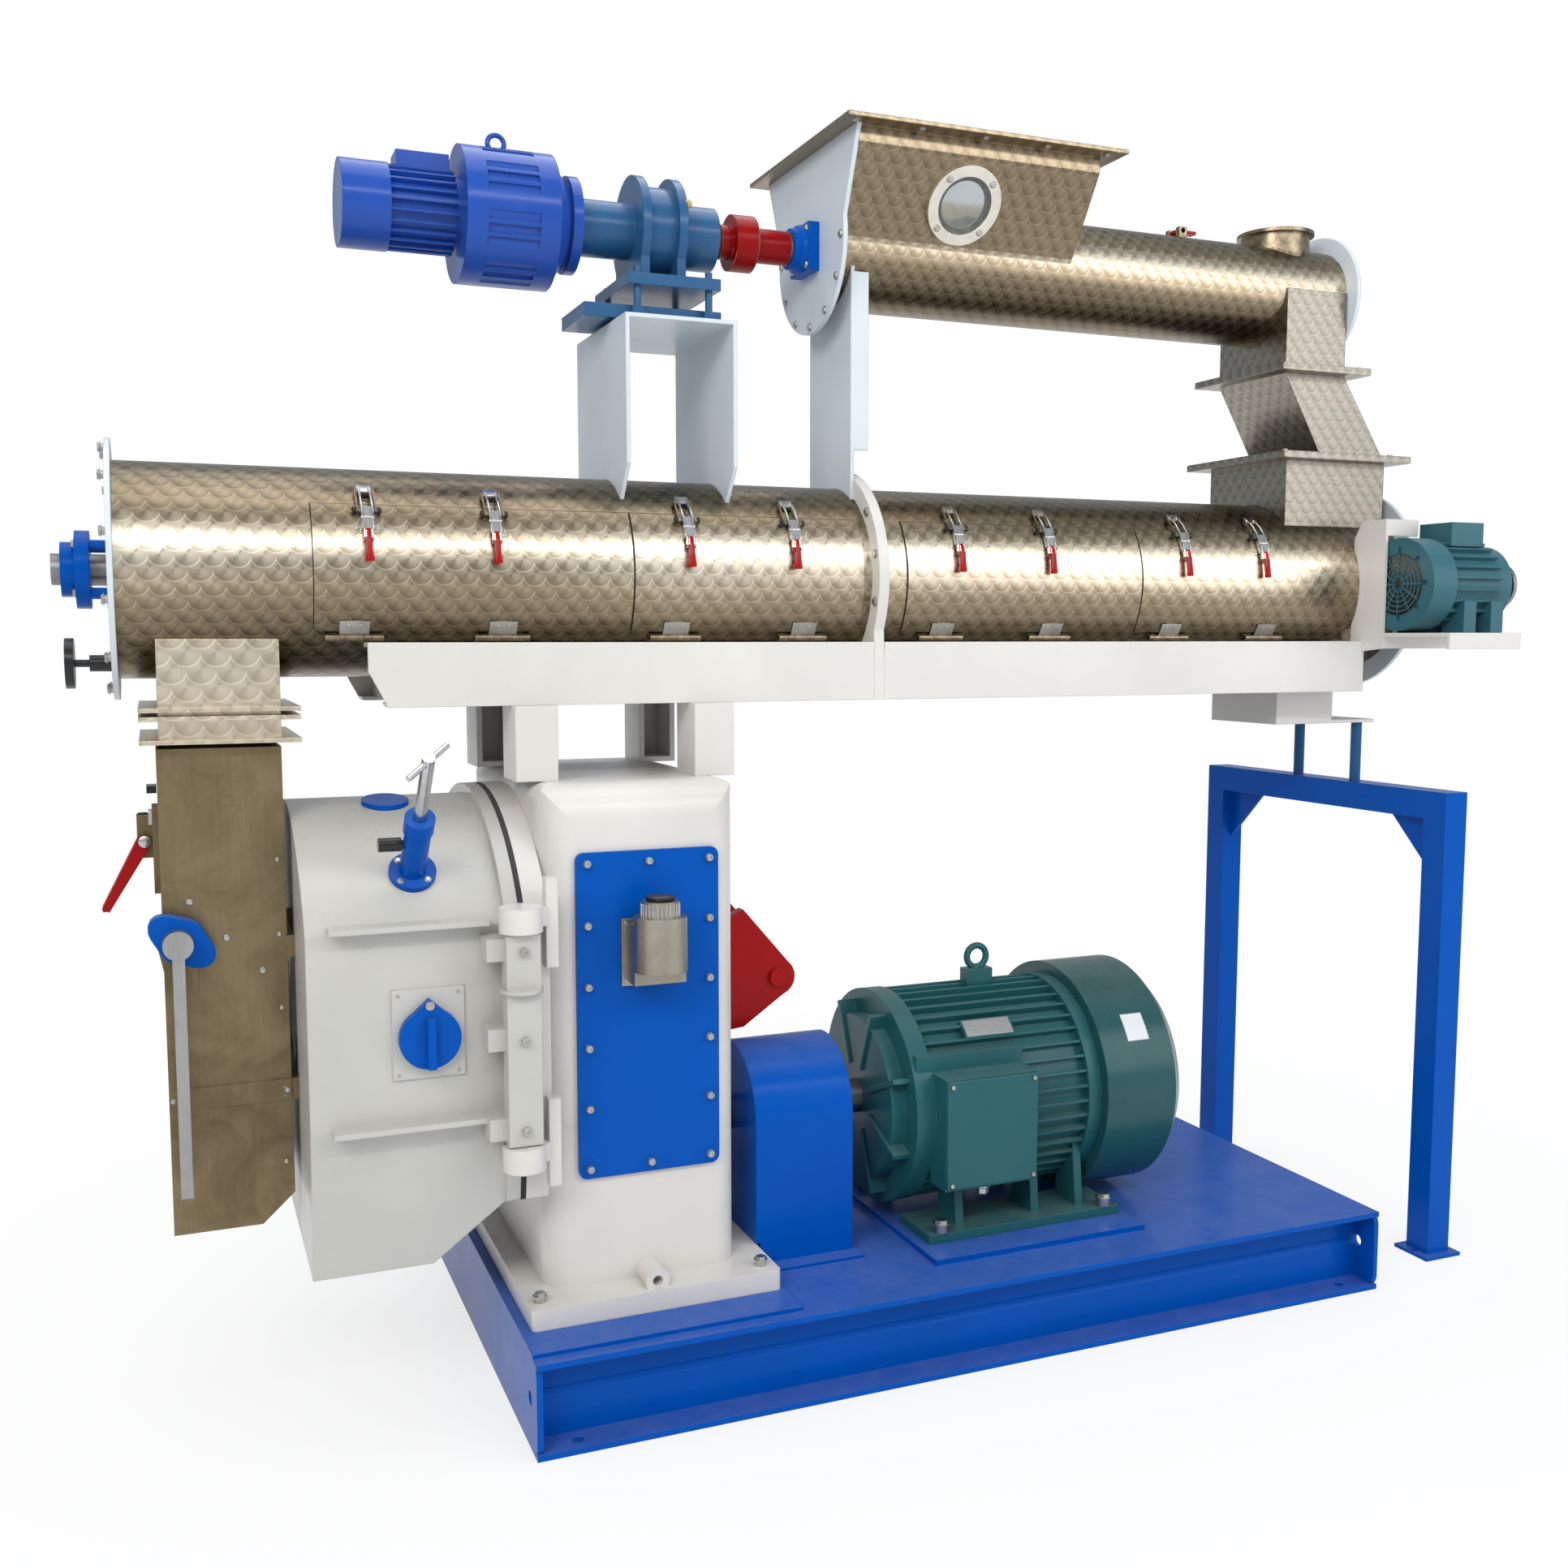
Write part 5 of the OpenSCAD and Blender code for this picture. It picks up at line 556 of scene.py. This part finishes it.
def addBlock(bm, low, high):
    verts = bmesh.ops.create_cube(bm, size=1.0)["verts"]
    size = [h - l for l, h in zip(low, high)]
    mid = [(h + l) / 2 for l, h in zip(low, high)]
    bmesh.ops.scale(bm, vec=size, verts=verts)
    bmesh.ops.translate(bm, vec=mid, verts=verts)


# a bar swept along a line of points; sizes holds its half width along X and its half height at each point
def addSweep(bm, points, sizes):
    side = Vector(toRight)
    steps = 14
    turns = [2 * math.pi * k / steps for k in range(steps)]
    rings = []
    for i, p in enumerate(points):
        ahead = Vector(points[min(i + 1, len(points) - 1)]) - Vector(points[max(i - 1, 0)])
        up = side.cross(ahead.normalized())
        w, h = sizes[i]
        rings.append([bm.verts.new(Vector(p) + side * w * math.cos(t) + up * h * math.sin(t)) for t in turns])
    for a, b in zip(rings, rings[1:]):
        for k in range(steps):
            n = (k + 1) % steps
            bm.faces.new((a[k], a[n], b[n], b[k]))
    bm.faces.new(rings[0][::-1])
    bm.faces.new(rings[-1])


# a flat plate bent round an axis along X, from angle low to angle high
def addArcPlate(bm, x0, x1, r0, r1, low, high, centre=(0, mill["barrelZ"]), parts=6):
    rows = []
    for k in range(parts + 1):
        a = math.radians(low + (high - low) * k / parts)
        corners = ((x0, r0), (x1, r0), (x1, r1), (x0, r1))
        spots = [(x, centre[0] - r * math.cos(a), centre[1] + r * math.sin(a)) for x, r in corners]
        rows.append([bm.verts.new(spot) for spot in spots])
    for a, b in zip(rows, rows[1:]):
        for k in range(4):
            n = (k + 1) % 4
            bm.faces.new((a[k], b[k], b[n], a[n]))
    bm.faces.new(rows[0])
    bm.faces.new(rows[-1][::-1])


# a point on a circle round an axis along X, counted from the back
def onCircle(x, r, degrees, y, z):
    a = math.radians(degrees)
    return (x, y + r * math.cos(a), z + r * math.sin(a))


# a point at radius r from the barrel's axis, degrees above the front; outward is the direction there
def onBarrel(x, r, degrees):
    a = math.radians(degrees)
    return (x, -r * math.cos(a), mill["barrelZ"] + r * math.sin(a))


def outward(degrees):
    a = math.radians(degrees)
    return (0, -math.cos(a), math.sin(a))


# hex bolts of the flange pair in the middle of the barrel, of three flanges that face left, and of the
# feeder drive; a pair or ring with a height over or under leaves out the bolts on the wrong side of it
midBolts = {"xs": (-0.1938, -0.1659), "r": 0.270, "count": 14, "over": 1.80, "size": 0.010}
flanges = {"barrelEnd": dict(x=-1.985, r=0.274, first=15, count=12, z=mill["barrelZ"], size=0.0105),
           "bearing": dict(x=-2.047, r=0.074, first=45, count=4, z=mill["barrelZ"], size=0.010),
           "feeder": dict(x=-0.2620, r=0.195, first=0, count=12, z=mill["feedZ"], size=0.009,
                          under=mill["feedZ"] + 0.02)}
driveBolts = {"x": -0.2920, "half": 0.045, "size": 0.009}
bm = bmesh.new()
for k in range(midBolts["count"]):
    for x, way in zip(midBolts["xs"], (toLeft, toRight)):
        at = onCircle(x, midBolts["r"], 360 * (k + 0.5) / midBolts["count"], 0, mill["barrelZ"])
        if at[2] > midBolts["over"]:
            addHexBolt(bm, at, way, midBolts["size"])
for ring in flanges.values():
    for k in range(ring["count"]):
        at = onCircle(ring["x"], ring["r"], ring["first"] + 360 * k / ring["count"], 0, ring["z"])
        if at[2] < ring.get("under", math.inf):
            addHexBolt(bm, at, toLeft, ring["size"])
for y in (-driveBolts["half"], driveBolts["half"]):
    for z in (-driveBolts["half"], driveBolts["half"]):
        addHexBolt(bm, (driveBolts["x"], y, mill["feedZ"] + z), toLeft, driveBolts["size"])
newPiece("flangeBolts", bm, "zincSteel", "mill_frame")

# gearbox cover screws, and rows of hex bolts on foot, motor feet, inlet flanges and hopper
cover = {"low": 0.565, "high": 1.283, "rows": 6, "xs": (-0.995, -0.847, -0.699), "y": -0.4188, "size": 0.0085}
boltRows = {"gearboxFoot": dict(xs=(-1.126, -0.5815), ys=(-0.447, 0.447), z=0.294, way=toTop, size=0.0135),
            "motorFeet": dict(xs=(-0.054, 0.445), ys=(-0.387,), z=0.283, way=toTop, size=0.018),
            "inletLow": dict(xs=(1.14, 1.27, 1.40, 1.53), ys=(-0.203,), z=2.3345, way=toTop, size=0.008),
            "inletHigh": dict(xs=(1.16, 1.29, 1.42), ys=(-0.180,), z=2.585, way=toTop, size=0.008),
            "hopper": dict(xs=(-0.27, -0.09, 0.09, 0.27, 0.45), ys=(-0.300,), z=3.0502, way=toBottom,
                           size=0.008)}
bm = bmesh.new()
for row in range(cover["rows"]):
    z = cover["low"] + row * (cover["high"] - cover["low"]) / (cover["rows"] - 1)
    onEnd = row in (0, cover["rows"] - 1)
    for x in cover["xs"] if onEnd else cover["xs"][::2]:
        addSocketScrew(bm, (x, cover["y"], z), toFront, cover["size"])
for row in boltRows.values():
    for x in row["xs"]:
        for y in row["ys"]:
            addHexBolt(bm, (x, y, row["z"]), row["way"], row["size"])
newPiece("frameBolts", bm, "zincSteel", "mill_frame")
print("bolts placed")

# terminal box lid with its screws
lid = {"low": (-0.068, -0.446, 0.389), "high": (0.198, -0.4399, 0.673), "xs": (-0.055, 0.185), "y": -0.4458,
       "zs": (0.402, 0.66), "screw": 0.006}
bm = bmesh.new()
addBlock(bm, lid["low"], lid["high"])
newPiece("terminalLid", bm, "darkTealPaint", "mill_frame", bevel=0.003)
bm = bmesh.new()
for x in lid["xs"]:
    for z in lid["zs"]:
        addSocketScrew(bm, (x, lid["y"], z), toFront, lid["screw"])
newPiece("lidScrews", bm, "zincSteel", "mill_frame")

# barrel doors: where each hangs, latches, starts and ends, its screws, hinge leaves and seal lines
doorPlan = {"hinges": [(-1.4719, -1.1346), (-0.7090, -0.3699), (0.0250, 0.3581), (0.7480, 1.0789)],
            "latches": [(-1.4401, -1.1529), (-0.6821, -0.4049), (0.0600, 0.3351), (0.7748, 1.0429)],
            "starts": [-1.5598, -0.8209, -0.0920, 0.6311], "ends": [-0.8252, -0.2152, 0.6272, 1.3530]}
doorScrew = {"shape": (0.0045, 0.0038, 0.0022, 0.0028),
             "hingeHalf": 0.013, "hingeR": 0.2517, "hingeTurn": -29.5,
             "latchHalf": 0.0225, "latchR": 0.2497, "latchTurn": 22}
leaf = {"half": 0.033, "low": 0.2502, "high": 0.2518, "from": -35.0, "to": -27.0, "bevel": 0.0003}
seal = {"low": 0.2443, "high": 0.2455, "wide": 0.0017, "gap": 0.0001, "from": -33, "to": 37.4, "thin": 0.45}
for d in range(4):
    body = "barrel_door_%d_body" % (d + 1)
    bm = bmesh.new()
    for kind, places in (("hinge", doorPlan["hinges"][d]), ("latch", doorPlan["latches"][d])):
        r, turn = doorScrew[kind + "R"], doorScrew[kind + "Turn"]
        for x in places:
            for s in (-doorScrew[kind + "Half"], doorScrew[kind + "Half"]):
                addRivet(bm, onBarrel(x + s, r, turn), outward(turn), doorScrew["shape"])
    newPiece("doorScrews%d" % (d + 1), bm, "zincSteel", body)
    bm = bmesh.new()
    for x in doorPlan["hinges"][d]:
        addArcPlate(bm, x - leaf["half"], x + leaf["half"], leaf["low"], leaf["high"],
                    leaf["from"], leaf["to"])
    newPiece("doorLeaves%d" % (d + 1), bm, "plateSteel", body, bevel=leaf["bevel"])
bm = bmesh.new()
for x0, x1 in zip(doorPlan["starts"], doorPlan["ends"]):
    for x in (x0 - seal["wide"], x1):
        addArcPlate(bm, x, x + seal["wide"], seal["low"], seal["high"], seal["from"], seal["to"], parts=24)
    addArcPlate(bm, x0 + seal["gap"], x1 - seal["gap"], seal["low"], seal["high"],
                seal["to"] - seal["thin"], seal["to"], parts=1)
newPiece("doorSeals", bm, "gasketRubber", "mill_frame", smooth=False)

# latches: red grip, chrome cheeks with hook rods and cross pin, black caps; turns count up from the front
grip = {"r": 0.2650, "turns": (20, 18, 15, 12, 9, 6, 4.6, 4.0), "deep": 0.0066, "startDeep": 0.005,
        "half": (0.0072, 0.0078, 0.0074, 0.0072, 0.0080, 0.0098, 0.0104, 0.0080)}
bail = {"side": 0.0118, "rodR": 0.2600, "rodTurns": (20, 24, 28, 31), "rodHalf": 0.0024,
        "rodDeep": (0.0075, 0.0095, 0.0095, 0.0075), "hook": 0.0030,
        "hookLine": ((0.2655, 26), (0.2665, 32), (0.2640, 38), (0.2590, 43), (0.2560, 46)),
        "pinR": 0.0032, "pinLong": 0.0300, "pinAt": (0.2655, 26),
        "bridge": (0.0165, 0.2545, 0.2580, 43.5, 48.5)}
cap = {"side": 0.0245, "r": 0.2580, "turn": 31,
       "profile": [(0, 0), (0.0085, 0), (0.0085, 0.006), (0.0045, 0.008), (0, 0.008)]}
for i in range(8):
    x = doorPlan["latches"][i // 2][i % 2]
    body = "latch_%d_body" % (i + 1)
    door = "barrel_door_%d_body" % (i // 2 + 1)
    bm = bmesh.new()
    sizes = [(w, grip["deep"] if k else grip["startDeep"]) for k, w in enumerate(grip["half"])]
    addSweep(bm, [onBarrel(x, grip["r"], a) for a in grip["turns"]], sizes)
    newPiece("latchGrip%d" % (i + 1), bm, "redPaint", body)
    bm = bmesh.new()
    for side in (-bail["side"], bail["side"]):
        rods = [onBarrel(x + side, bail["rodR"], a) for a in bail["rodTurns"]]
        addSweep(bm, rods, [(bail["rodHalf"], deep) for deep in bail["rodDeep"]])
        hook = [onBarrel(x + side, r, a) for r, a in bail["hookLine"]]
        addSweep(bm, hook, [(bail["hook"], bail["hook"])] * len(hook))
    pin = [(0, 0), (bail["pinR"], 0), (bail["pinR"], bail["pinLong"]), (0, bail["pinLong"])]
    addTurned(bm, pin, onBarrel(x - bail["pinLong"] / 2, *bail["pinAt"]), toRight, steps=12)
    half, low, high, start, stop = bail["bridge"]
    addArcPlate(bm, x - half, x + half, low, high, start, stop)
    newPiece("latchBail%d" % (i + 1), bm, "chromeSteel", body)
    bm = bmesh.new()
    for side, way in ((-cap["side"], toLeft), (cap["side"], toRight)):
        addTurned(bm, cap["profile"], onBarrel(x + side, cap["r"], cap["turn"]), way, steps=20)
    newPiece("latchCaps%d" % (i + 1), bm, "blackPlastic", door)
print("barrel doors dressed")

# screws on the sight glass ring, which lies on the sloping wall of the hopper
sight = {"mid": (0.075, -0.2105, 2.9085), "slope": (0.203, 0.133), "r": 0.088, "rise": 0.014, "size": 0.0075}
slopeTilt = math.atan2(*sight["slope"])
slopeNormal = Vector((0, -math.sin(slopeTilt), -math.cos(slopeTilt)))
slopeUp = Vector((0, -math.cos(slopeTilt), math.sin(slopeTilt)))
bm = bmesh.new()
for k in range(4):
    a = math.radians(45 + 90 * k)
    offset = Vector(toRight) * sight["r"] * math.cos(a) + slopeUp * sight["r"] * math.sin(a)
    addHexBolt(bm, Vector(sight["mid"]) + slopeNormal * sight["rise"] + offset, slopeNormal, sight["size"])
newPiece("sightScrews", bm, "zincSteel", "mill_frame")

# oil filler: knurled cap, screws of its plate, black top and band
filler = {"x": -0.843, "y": -0.488, "knurlR": 0.0440, "knurls": 28, "knurlZ": 1.165, "topZ": 1.2005,
          "bandZ": 1.150, "screwX": (-0.906, -0.780), "screwZ": (1.003, 1.141), "screwY": -0.4215,
          "screw": 0.0052,
          "knurl": [(0, 0), (0.0022, 0), (0.0022, 0.030), (0, 0.032)],
          "top": [(0, 0), (0.031, 0), (0.034, 0.006), (0.034, 0.010), (0.026, 0.014), (0, 0.014)],
          "band": [(0.0448, 0), (0.0462, 0.001), (0.0462, 0.007), (0.0448, 0.008), (0.0448, 0)]}
bm = bmesh.new()
for k in range(filler["knurls"]):
    a = 2 * math.pi * k / filler["knurls"]
    at = (filler["x"] + filler["knurlR"] * math.cos(a), filler["y"] + filler["knurlR"] * math.sin(a),
          filler["knurlZ"])
    addTurned(bm, filler["knurl"], at, toTop, steps=8)
newPiece("capKnurl", bm, "chromeSteel", "mill_frame")
bm = bmesh.new()
for x in filler["screwX"]:
    for z in filler["screwZ"]:
        addSocketScrew(bm, (x, filler["screwY"], z), toFront, filler["screw"])
newPiece("fillerScrews", bm, "zincSteel", "mill_frame")
bm = bmesh.new()
addTurned(bm, filler["top"], (filler["x"], filler["y"], filler["topZ"]), toTop, steps=32)
addTurned(bm, filler["band"], (filler["x"], filler["y"], filler["bandZ"]), toTop, steps=32)
newPiece("fillerCapTop", bm, "blackPlastic", "mill_frame")

# die door: bolts of the knife post's foot on the arch, hinge post screws, knob plate screws, knob stud
arch = {"turn": math.radians(47), "r": 0.533, "x": -1.3785, "boltR": 0.041, "bolt": 0.0065}
post = {"x": -1.1725, "y": -0.5490, "zs": (0.719, 0.920, 1.119), "size": 0.0100}
knobPlate = {"xs": (-1.43, -1.30), "y": -0.4500, "zs": (0.845, 1.022),
             "shape": (0.004, 0.0034, 0.0018, 0.0024)}
knobStud = {"at": (-1.3645, -0.4726, 1.000),
            "profile": [(0, 0), (0.010, 0), (0.010, 0.004), (0.005, 0.004), (0.005, 0.002), (0, 0.002)]}
bm = bmesh.new()
up = Vector((0, -math.cos(arch["turn"]), math.sin(arch["turn"])))
side = Vector((0, math.sin(arch["turn"]), math.cos(arch["turn"])))
centre = Vector((arch["x"], 0, mill["dieZ"])) + up * arch["r"]
for k in range(4):
    a = math.radians(45 + 90 * k)
    offset = Vector(toRight) * arch["boltR"] * math.cos(a) + side * arch["boltR"] * math.sin(a)
    addHexBolt(bm, centre + offset, up, arch["bolt"])
for z in post["zs"]:
    addSocketScrew(bm, (post["x"], post["y"], z), toFront, post["size"])
for x in knobPlate["xs"]:
    for z in knobPlate["zs"]:
        addRivet(bm, (x, knobPlate["y"], z), toFront, knobPlate["shape"], steps=12)
addTurned(bm, knobStud["profile"], knobStud["at"], toFront, steps=16)
newPiece("doorBolts", bm, "zincSteel", "door")

# chute: rivets down its right edge, studs of its strap, and blue bearing with two ears
chute = {"face": -0.1900, "rivetX": -1.652, "rivetZ": (1.30, 1.13, 0.96, 0.775, 0.755, 0.60),
         "rivet": (0.006, 0.005, 0.003, 0.0045), "studs": ((-1.84, 1.215), (-1.765, 1.13), (-1.69, 1.05)),
         "stud": (0.008, 0.007, 0.004, 0.006), "strapX": (-1.888, -1.645), "strapY": -0.1940,
         "strapZ": 0.7685, "strap": (0.007, 0.006, 0.003, 0.0045)}
ear = {"x": -1.8590, "z": 1.134, "long": 0.080, "r": 0.0485, "tall": 1.05, "tilt": math.radians(-38),
       "front": -0.2352, "back": -0.1945, "sharp": 6, "steps": 40}
bm = bmesh.new()
for z in chute["rivetZ"]:
    addRivet(bm, (chute["rivetX"], chute["face"], z), toFront, chute["rivet"])
for x, z in chute["studs"]:
    addRivet(bm, (x, chute["face"], z), toFront, chute["stud"])
newPiece("chuteRivets", bm, "zincSteel", "door")
bm = bmesh.new()
front = []
for k in range(ear["steps"]):
    a = 2 * math.pi * k / ear["steps"]
    r = ear["r"] + (ear["long"] - ear["r"]) * abs(math.cos(a)) ** ear["sharp"]
    x, z = r * math.cos(a), r * math.sin(a) * ear["tall"]
    c, s = math.cos(ear["tilt"]), math.sin(ear["tilt"])
    front.append(bm.verts.new((ear["x"] + x * c - z * s, ear["front"], ear["z"] + x * s + z * c)))
back = [bm.verts.new((v.co.x, ear["back"], v.co.z)) for v in front]
bm.faces.new(front[::-1])
bm.faces.new(back)
for k in range(ear["steps"]):
    n = (k + 1) % ear["steps"]
    bm.faces.new((front[k], front[n], back[n], back[k]))
newPiece("flapBearing", bm, "bluePaint", "door", bevel=0.003)

# chute clamp: pivot washers and catch plate, rubber bumper and stop
clamp = {"x": -1.9275, "z": 1.335, "side": 0.0335,
         "washer": [(0, 0), (0.014, 0), (0.014, 0.003), (0.007, 0.006), (0, 0.006)],
         "catch": ((-1.9180, -0.026, 1.372), (-1.8990, 0.026, 1.404)),
         "bumperAt": (-1.9180, 0, 1.3885),
         "bumper": [(0, 0), (0.009, 0), (0.011, 0.004), (0.011, 0.020), (0.008, 0.024), (0, 0.024)],
         "stop": ((-1.9200, -0.030, 1.445), (-1.8985, 0.030, 1.462))}
bm = bmesh.new()
for way in (-1, 1):
    addTurned(bm, clamp["washer"], (clamp["x"], way * clamp["side"], clamp["z"]), (0, way, 0))
addBlock(bm, *clamp["catch"])
newPiece("clampBracket", bm, "chromeSteel", "door", bevel=0.0007)
bm = bmesh.new()
addTurned(bm, clamp["bumper"], clamp["bumperAt"], toLeft)
addBlock(bm, *clamp["stop"])
newPiece("clampBumper", bm, "blackPlastic", "door", bevel=0.001)
bm = bmesh.new()
for x in chute["strapX"]:
    addRivet(bm, (x, chute["strapY"], chute["strapZ"]), toFront, chute["strap"])
newPiece("strapRivets", bm, "zincSteel", "door")
print("door and chute dressed")

# main motor: cable gland, bare plate on its seat, blank label on the cowl
gland = {"at": (0.055, -0.410, 0.385), "profile": [(0, 0), (0.020, 0), (0.020, 0.010), (0.016, 0.012),
                                                   (0.016, 0.026), (0.010, 0.030), (0, 0.030)]}
motorAxis = (mill["motorY"], mill["motorZ"])
motorPlates = {"plateSeat": (0.055, 0.205, 0.270, 0.2875, 41, 52.5),
               "motorPlate": (0.060, 0.200, 0.2868, 0.2890, 41.8, 51.7),
               "cowlLabel": (0.520, 0.588, 0.3178, 0.3188, 28, 42)}
bm = bmesh.new()
addTurned(bm, gland["profile"], gland["at"], toBottom, steps=6)
newPiece("cableGland", bm, "zincSteel", "mill_frame")
bm = bmesh.new()
addArcPlate(bm, *motorPlates["plateSeat"], motorAxis)
newPiece("plateSeat", bm, "darkTealPaint", "mill_frame", bevel=0.001)
bm = bmesh.new()
addArcPlate(bm, *motorPlates["motorPlate"], motorAxis)
newPiece("motorPlate", bm, "plateSteel", "mill_frame", bevel=0.0004)
bm = bmesh.new()
addArcPlate(bm, *motorPlates["cowlLabel"], motorAxis)
newPiece("cowlLabel", bm, "blankLabel", "mill_frame", smooth=False)

# feeder: brass plug on the reducer, blue boss round the shaft at the hopper
plug = {"x": -0.640, "y": -0.1130, "rise": 0.052,
        "profile": [(0, 0), (0.011, 0), (0.011, 0.006), (0.008, 0.010), (0, 0.011)]}
boss = {"x": -0.2915, "profile": [(0.0405, 0), (0.064, 0), (0.060, 0.014), (0.052, 0.020), (0.052, 0.032),
                                  (0.0405, 0.034), (0.0405, 0)]}
bm = bmesh.new()
addTurned(bm, plug["profile"], (plug["x"], plug["y"], mill["feedZ"] + plug["rise"]), toFront, steps=20)
newPiece("reducerPlug", bm, "brassPlug", "mill_frame")
bm = bmesh.new()
addTurned(bm, boss["profile"], (boss["x"], 0, mill["feedZ"]), toLeft, steps=40)
newPiece("feedBoss", bm, "bluePaint", "mill_frame")

# fan grille of the mixer motor: a black disc of painted shade stands for the shade behind it, with wire rings
# and spokes over it
grille = {"at": (1.4070, -0.385, mill["barrelZ"]), "discR": 0.088, "discT": 0.0012, "wireT": 0.0034,
          "rings": (0.022, 0.036, 0.050, 0.064, 0.078), "foot": 0.0022, "crown": 0.0012,
          "spokes": 12, "spokeR": (0.012, 0.086), "spokeX": 0.0023, "spokeHalf": (0.0010, 0.0026)}
bm = bmesh.new()
disc = [(0, 0), (grille["discR"], 0), (grille["discR"], grille["discT"]), (0, grille["discT"])]
addTurned(bm, disc, grille["at"], toLeft, steps=40)
newPiece("grilleShadowDisc", bm, "blackPlastic", "mill_frame", smooth=False)
bm = bmesh.new()
for r in grille["rings"]:
    foot, crown, low, high = grille["foot"], grille["crown"], grille["discT"], grille["wireT"]
    wire = [(r - foot, low), (r + foot, low), (r + crown, high), (r - crown, high), (r - foot, low)]
    addTurned(bm, wire, grille["at"], toLeft, steps=40)
for k in range(grille["spokes"]):
    x, y, z = grille["at"]
    turn = 360 * k / grille["spokes"]
    ends = [onCircle(x - grille["spokeX"], r, turn, y, z) for r in grille["spokeR"]]
    addSweep(bm, ends, [grille["spokeHalf"]] * 2)
newPiece("grilleWires", bm, "tealPaint", "mill_frame")
print("motors and feeder dressed")

# pale floor: it takes the object's shadow, and fades to plain white away from it
floorPlan = {"size": 60, "color": (0.90, 0.90, 0.90, 1), "rough": 0.9, "specular": 0.1, "fadeFrom": 1.0,
             "fadeOver": 2.2, "whiteNear": 0.72, "whiteSpan": 0.28}


def makeFloor():
    bpy.ops.mesh.primitive_plane_add(size=floorPlan["size"], location=(0, 0, 0))
    floor = bpy.context.object
    floor.name = "studioFloor"
    mat, tree, bsdf = newMaterial("floorWhite")
    calc = calcFor(tree)
    bsdf.inputs["Base Color"].default_value = floorPlan["color"]
    bsdf.inputs["Roughness"].default_value = floorPlan["rough"]
    bsdf.inputs["Specular IOR Level"].default_value = floorPlan["specular"]
    glow = addNode(tree, "ShaderNodeEmission")
    glow.inputs[0].default_value = (1, 1, 1, 1)
    coord = addNode(tree, "ShaderNodeTexCoord")
    away = addNode(tree, "ShaderNodeVectorMath", operation="LENGTH")
    link(tree, coord.outputs["Object"], away.inputs[0])
    fade = calc("SUBTRACT", away.outputs["Value"], floorPlan["fadeFrom"])
    fade = calc("DIVIDE", fade, floorPlan["fadeOver"], True)
    path = addNode(tree, "ShaderNodeLightPath").outputs
    seen = calc("MAXIMUM", path["Is Glossy Ray"], path["Is Transmission Ray"])
    seen = calc("MAXIMUM", path["Is Camera Ray"], seen)
    base = calc("ADD", floorPlan["whiteNear"], calc("MULTIPLY", fade, floorPlan["whiteSpan"]), True)
    mix = addNode(tree, "ShaderNodeMixShader")
    link(tree, calc("MULTIPLY", base, seen), mix.inputs[0])
    link(tree, bsdf.outputs[0], mix.inputs[1])
    link(tree, glow.outputs[0], mix.inputs[2])
    link(tree, mix.outputs[0], tree.nodes["Material Output"].inputs[0])
    floor.data.materials.append(mat)


# pale air that lights the object; what the camera sees, also through glass, is plain white
air = {"tint": (0.87, 0.94, 1.0, 1), "strength": 0.50, "seen": (1, 1, 1, 1), "seenStrength": 1.0}


def makeAir():
    world = bpy.data.worlds.new("studioAir")
    scene.world = world
    world.use_nodes = True
    tree = world.node_tree
    tree.nodes.clear()
    lit = addNode(tree, "ShaderNodeBackground", in_Color=air["tint"], in_Strength=air["strength"])
    white = addNode(tree, "ShaderNodeBackground", in_Color=air["seen"], in_Strength=air["seenStrength"])
    path = addNode(tree, "ShaderNodeLightPath").outputs
    seen = calcFor(tree)("MAXIMUM", path["Is Camera Ray"], path["Is Transmission Ray"])
    mix = addNode(tree, "ShaderNodeMixShader")
    link(tree, seen, mix.inputs[0])
    link(tree, lit.outputs[0], mix.inputs[1])
    link(tree, white.outputs[0], mix.inputs[2])
    link(tree, mix.outputs[0], addNode(tree, "ShaderNodeOutputWorld").inputs[0])


makeFloor()
makeAir()

# area lamps: the long strip draws the highlight along the barrel
lamps = {"keyLamp": dict(at=(-5.5, -5.0, 5.5), size=3.2, power=230, tint=(1.0, 0.96, 0.90),
                         aim=(-0.6, 0, 1.4)),
         "stripLamp": dict(at=(-0.2, -4.8, 4.9), size=8.0, wide=0.5, power=120, aim=(-0.2, 0, 1.9)),
         "fillLamp": dict(at=(4.5, -5.5, 3.5), size=4.0, power=120, aim=(0, 0, 1.3)),
         "topLamp": dict(at=(0, 0.5, 6.5), size=4.5, power=150, aim=(0, 0, 1.0))}
for name, p in lamps.items():
    data = bpy.data.lights.new(name, "AREA")
    data.size = p["size"]
    if "wide" in p:
        data.shape = "RECTANGLE"
        data.size_y = p["wide"]
    data.energy = p["power"]
    data.color = p.get("tint", (1, 1, 1))
    lamp = bpy.data.objects.new(name, data)
    lamp.location = p["at"]
    lamp.rotation_euler = (Vector(p["aim"]) - Vector(p["at"])).to_track_quat("-Z", "Y").to_euler()
    scene.collection.objects.link(lamp)

# camera at the photograph's viewing angle
view = {"at": (-1.897, -3.788, 1.800), "turn": 22.4, "down": 5.49, "lens": 35.09, "sensor": 36}
camData = bpy.data.cameras.new("photoCamera")
camData.sensor_width = view["sensor"]
camData.sensor_fit = "HORIZONTAL"
camData.lens = view["lens"]
cam = bpy.data.objects.new("photoCamera", camData)
cam.location = view["at"]
cam.rotation_euler = (math.radians(90 - view["down"]), 0, math.radians(-view["turn"]))
scene.collection.objects.link(cam)
scene.camera = cam
scene.view_settings.view_transform = "Standard"
print("scene set")
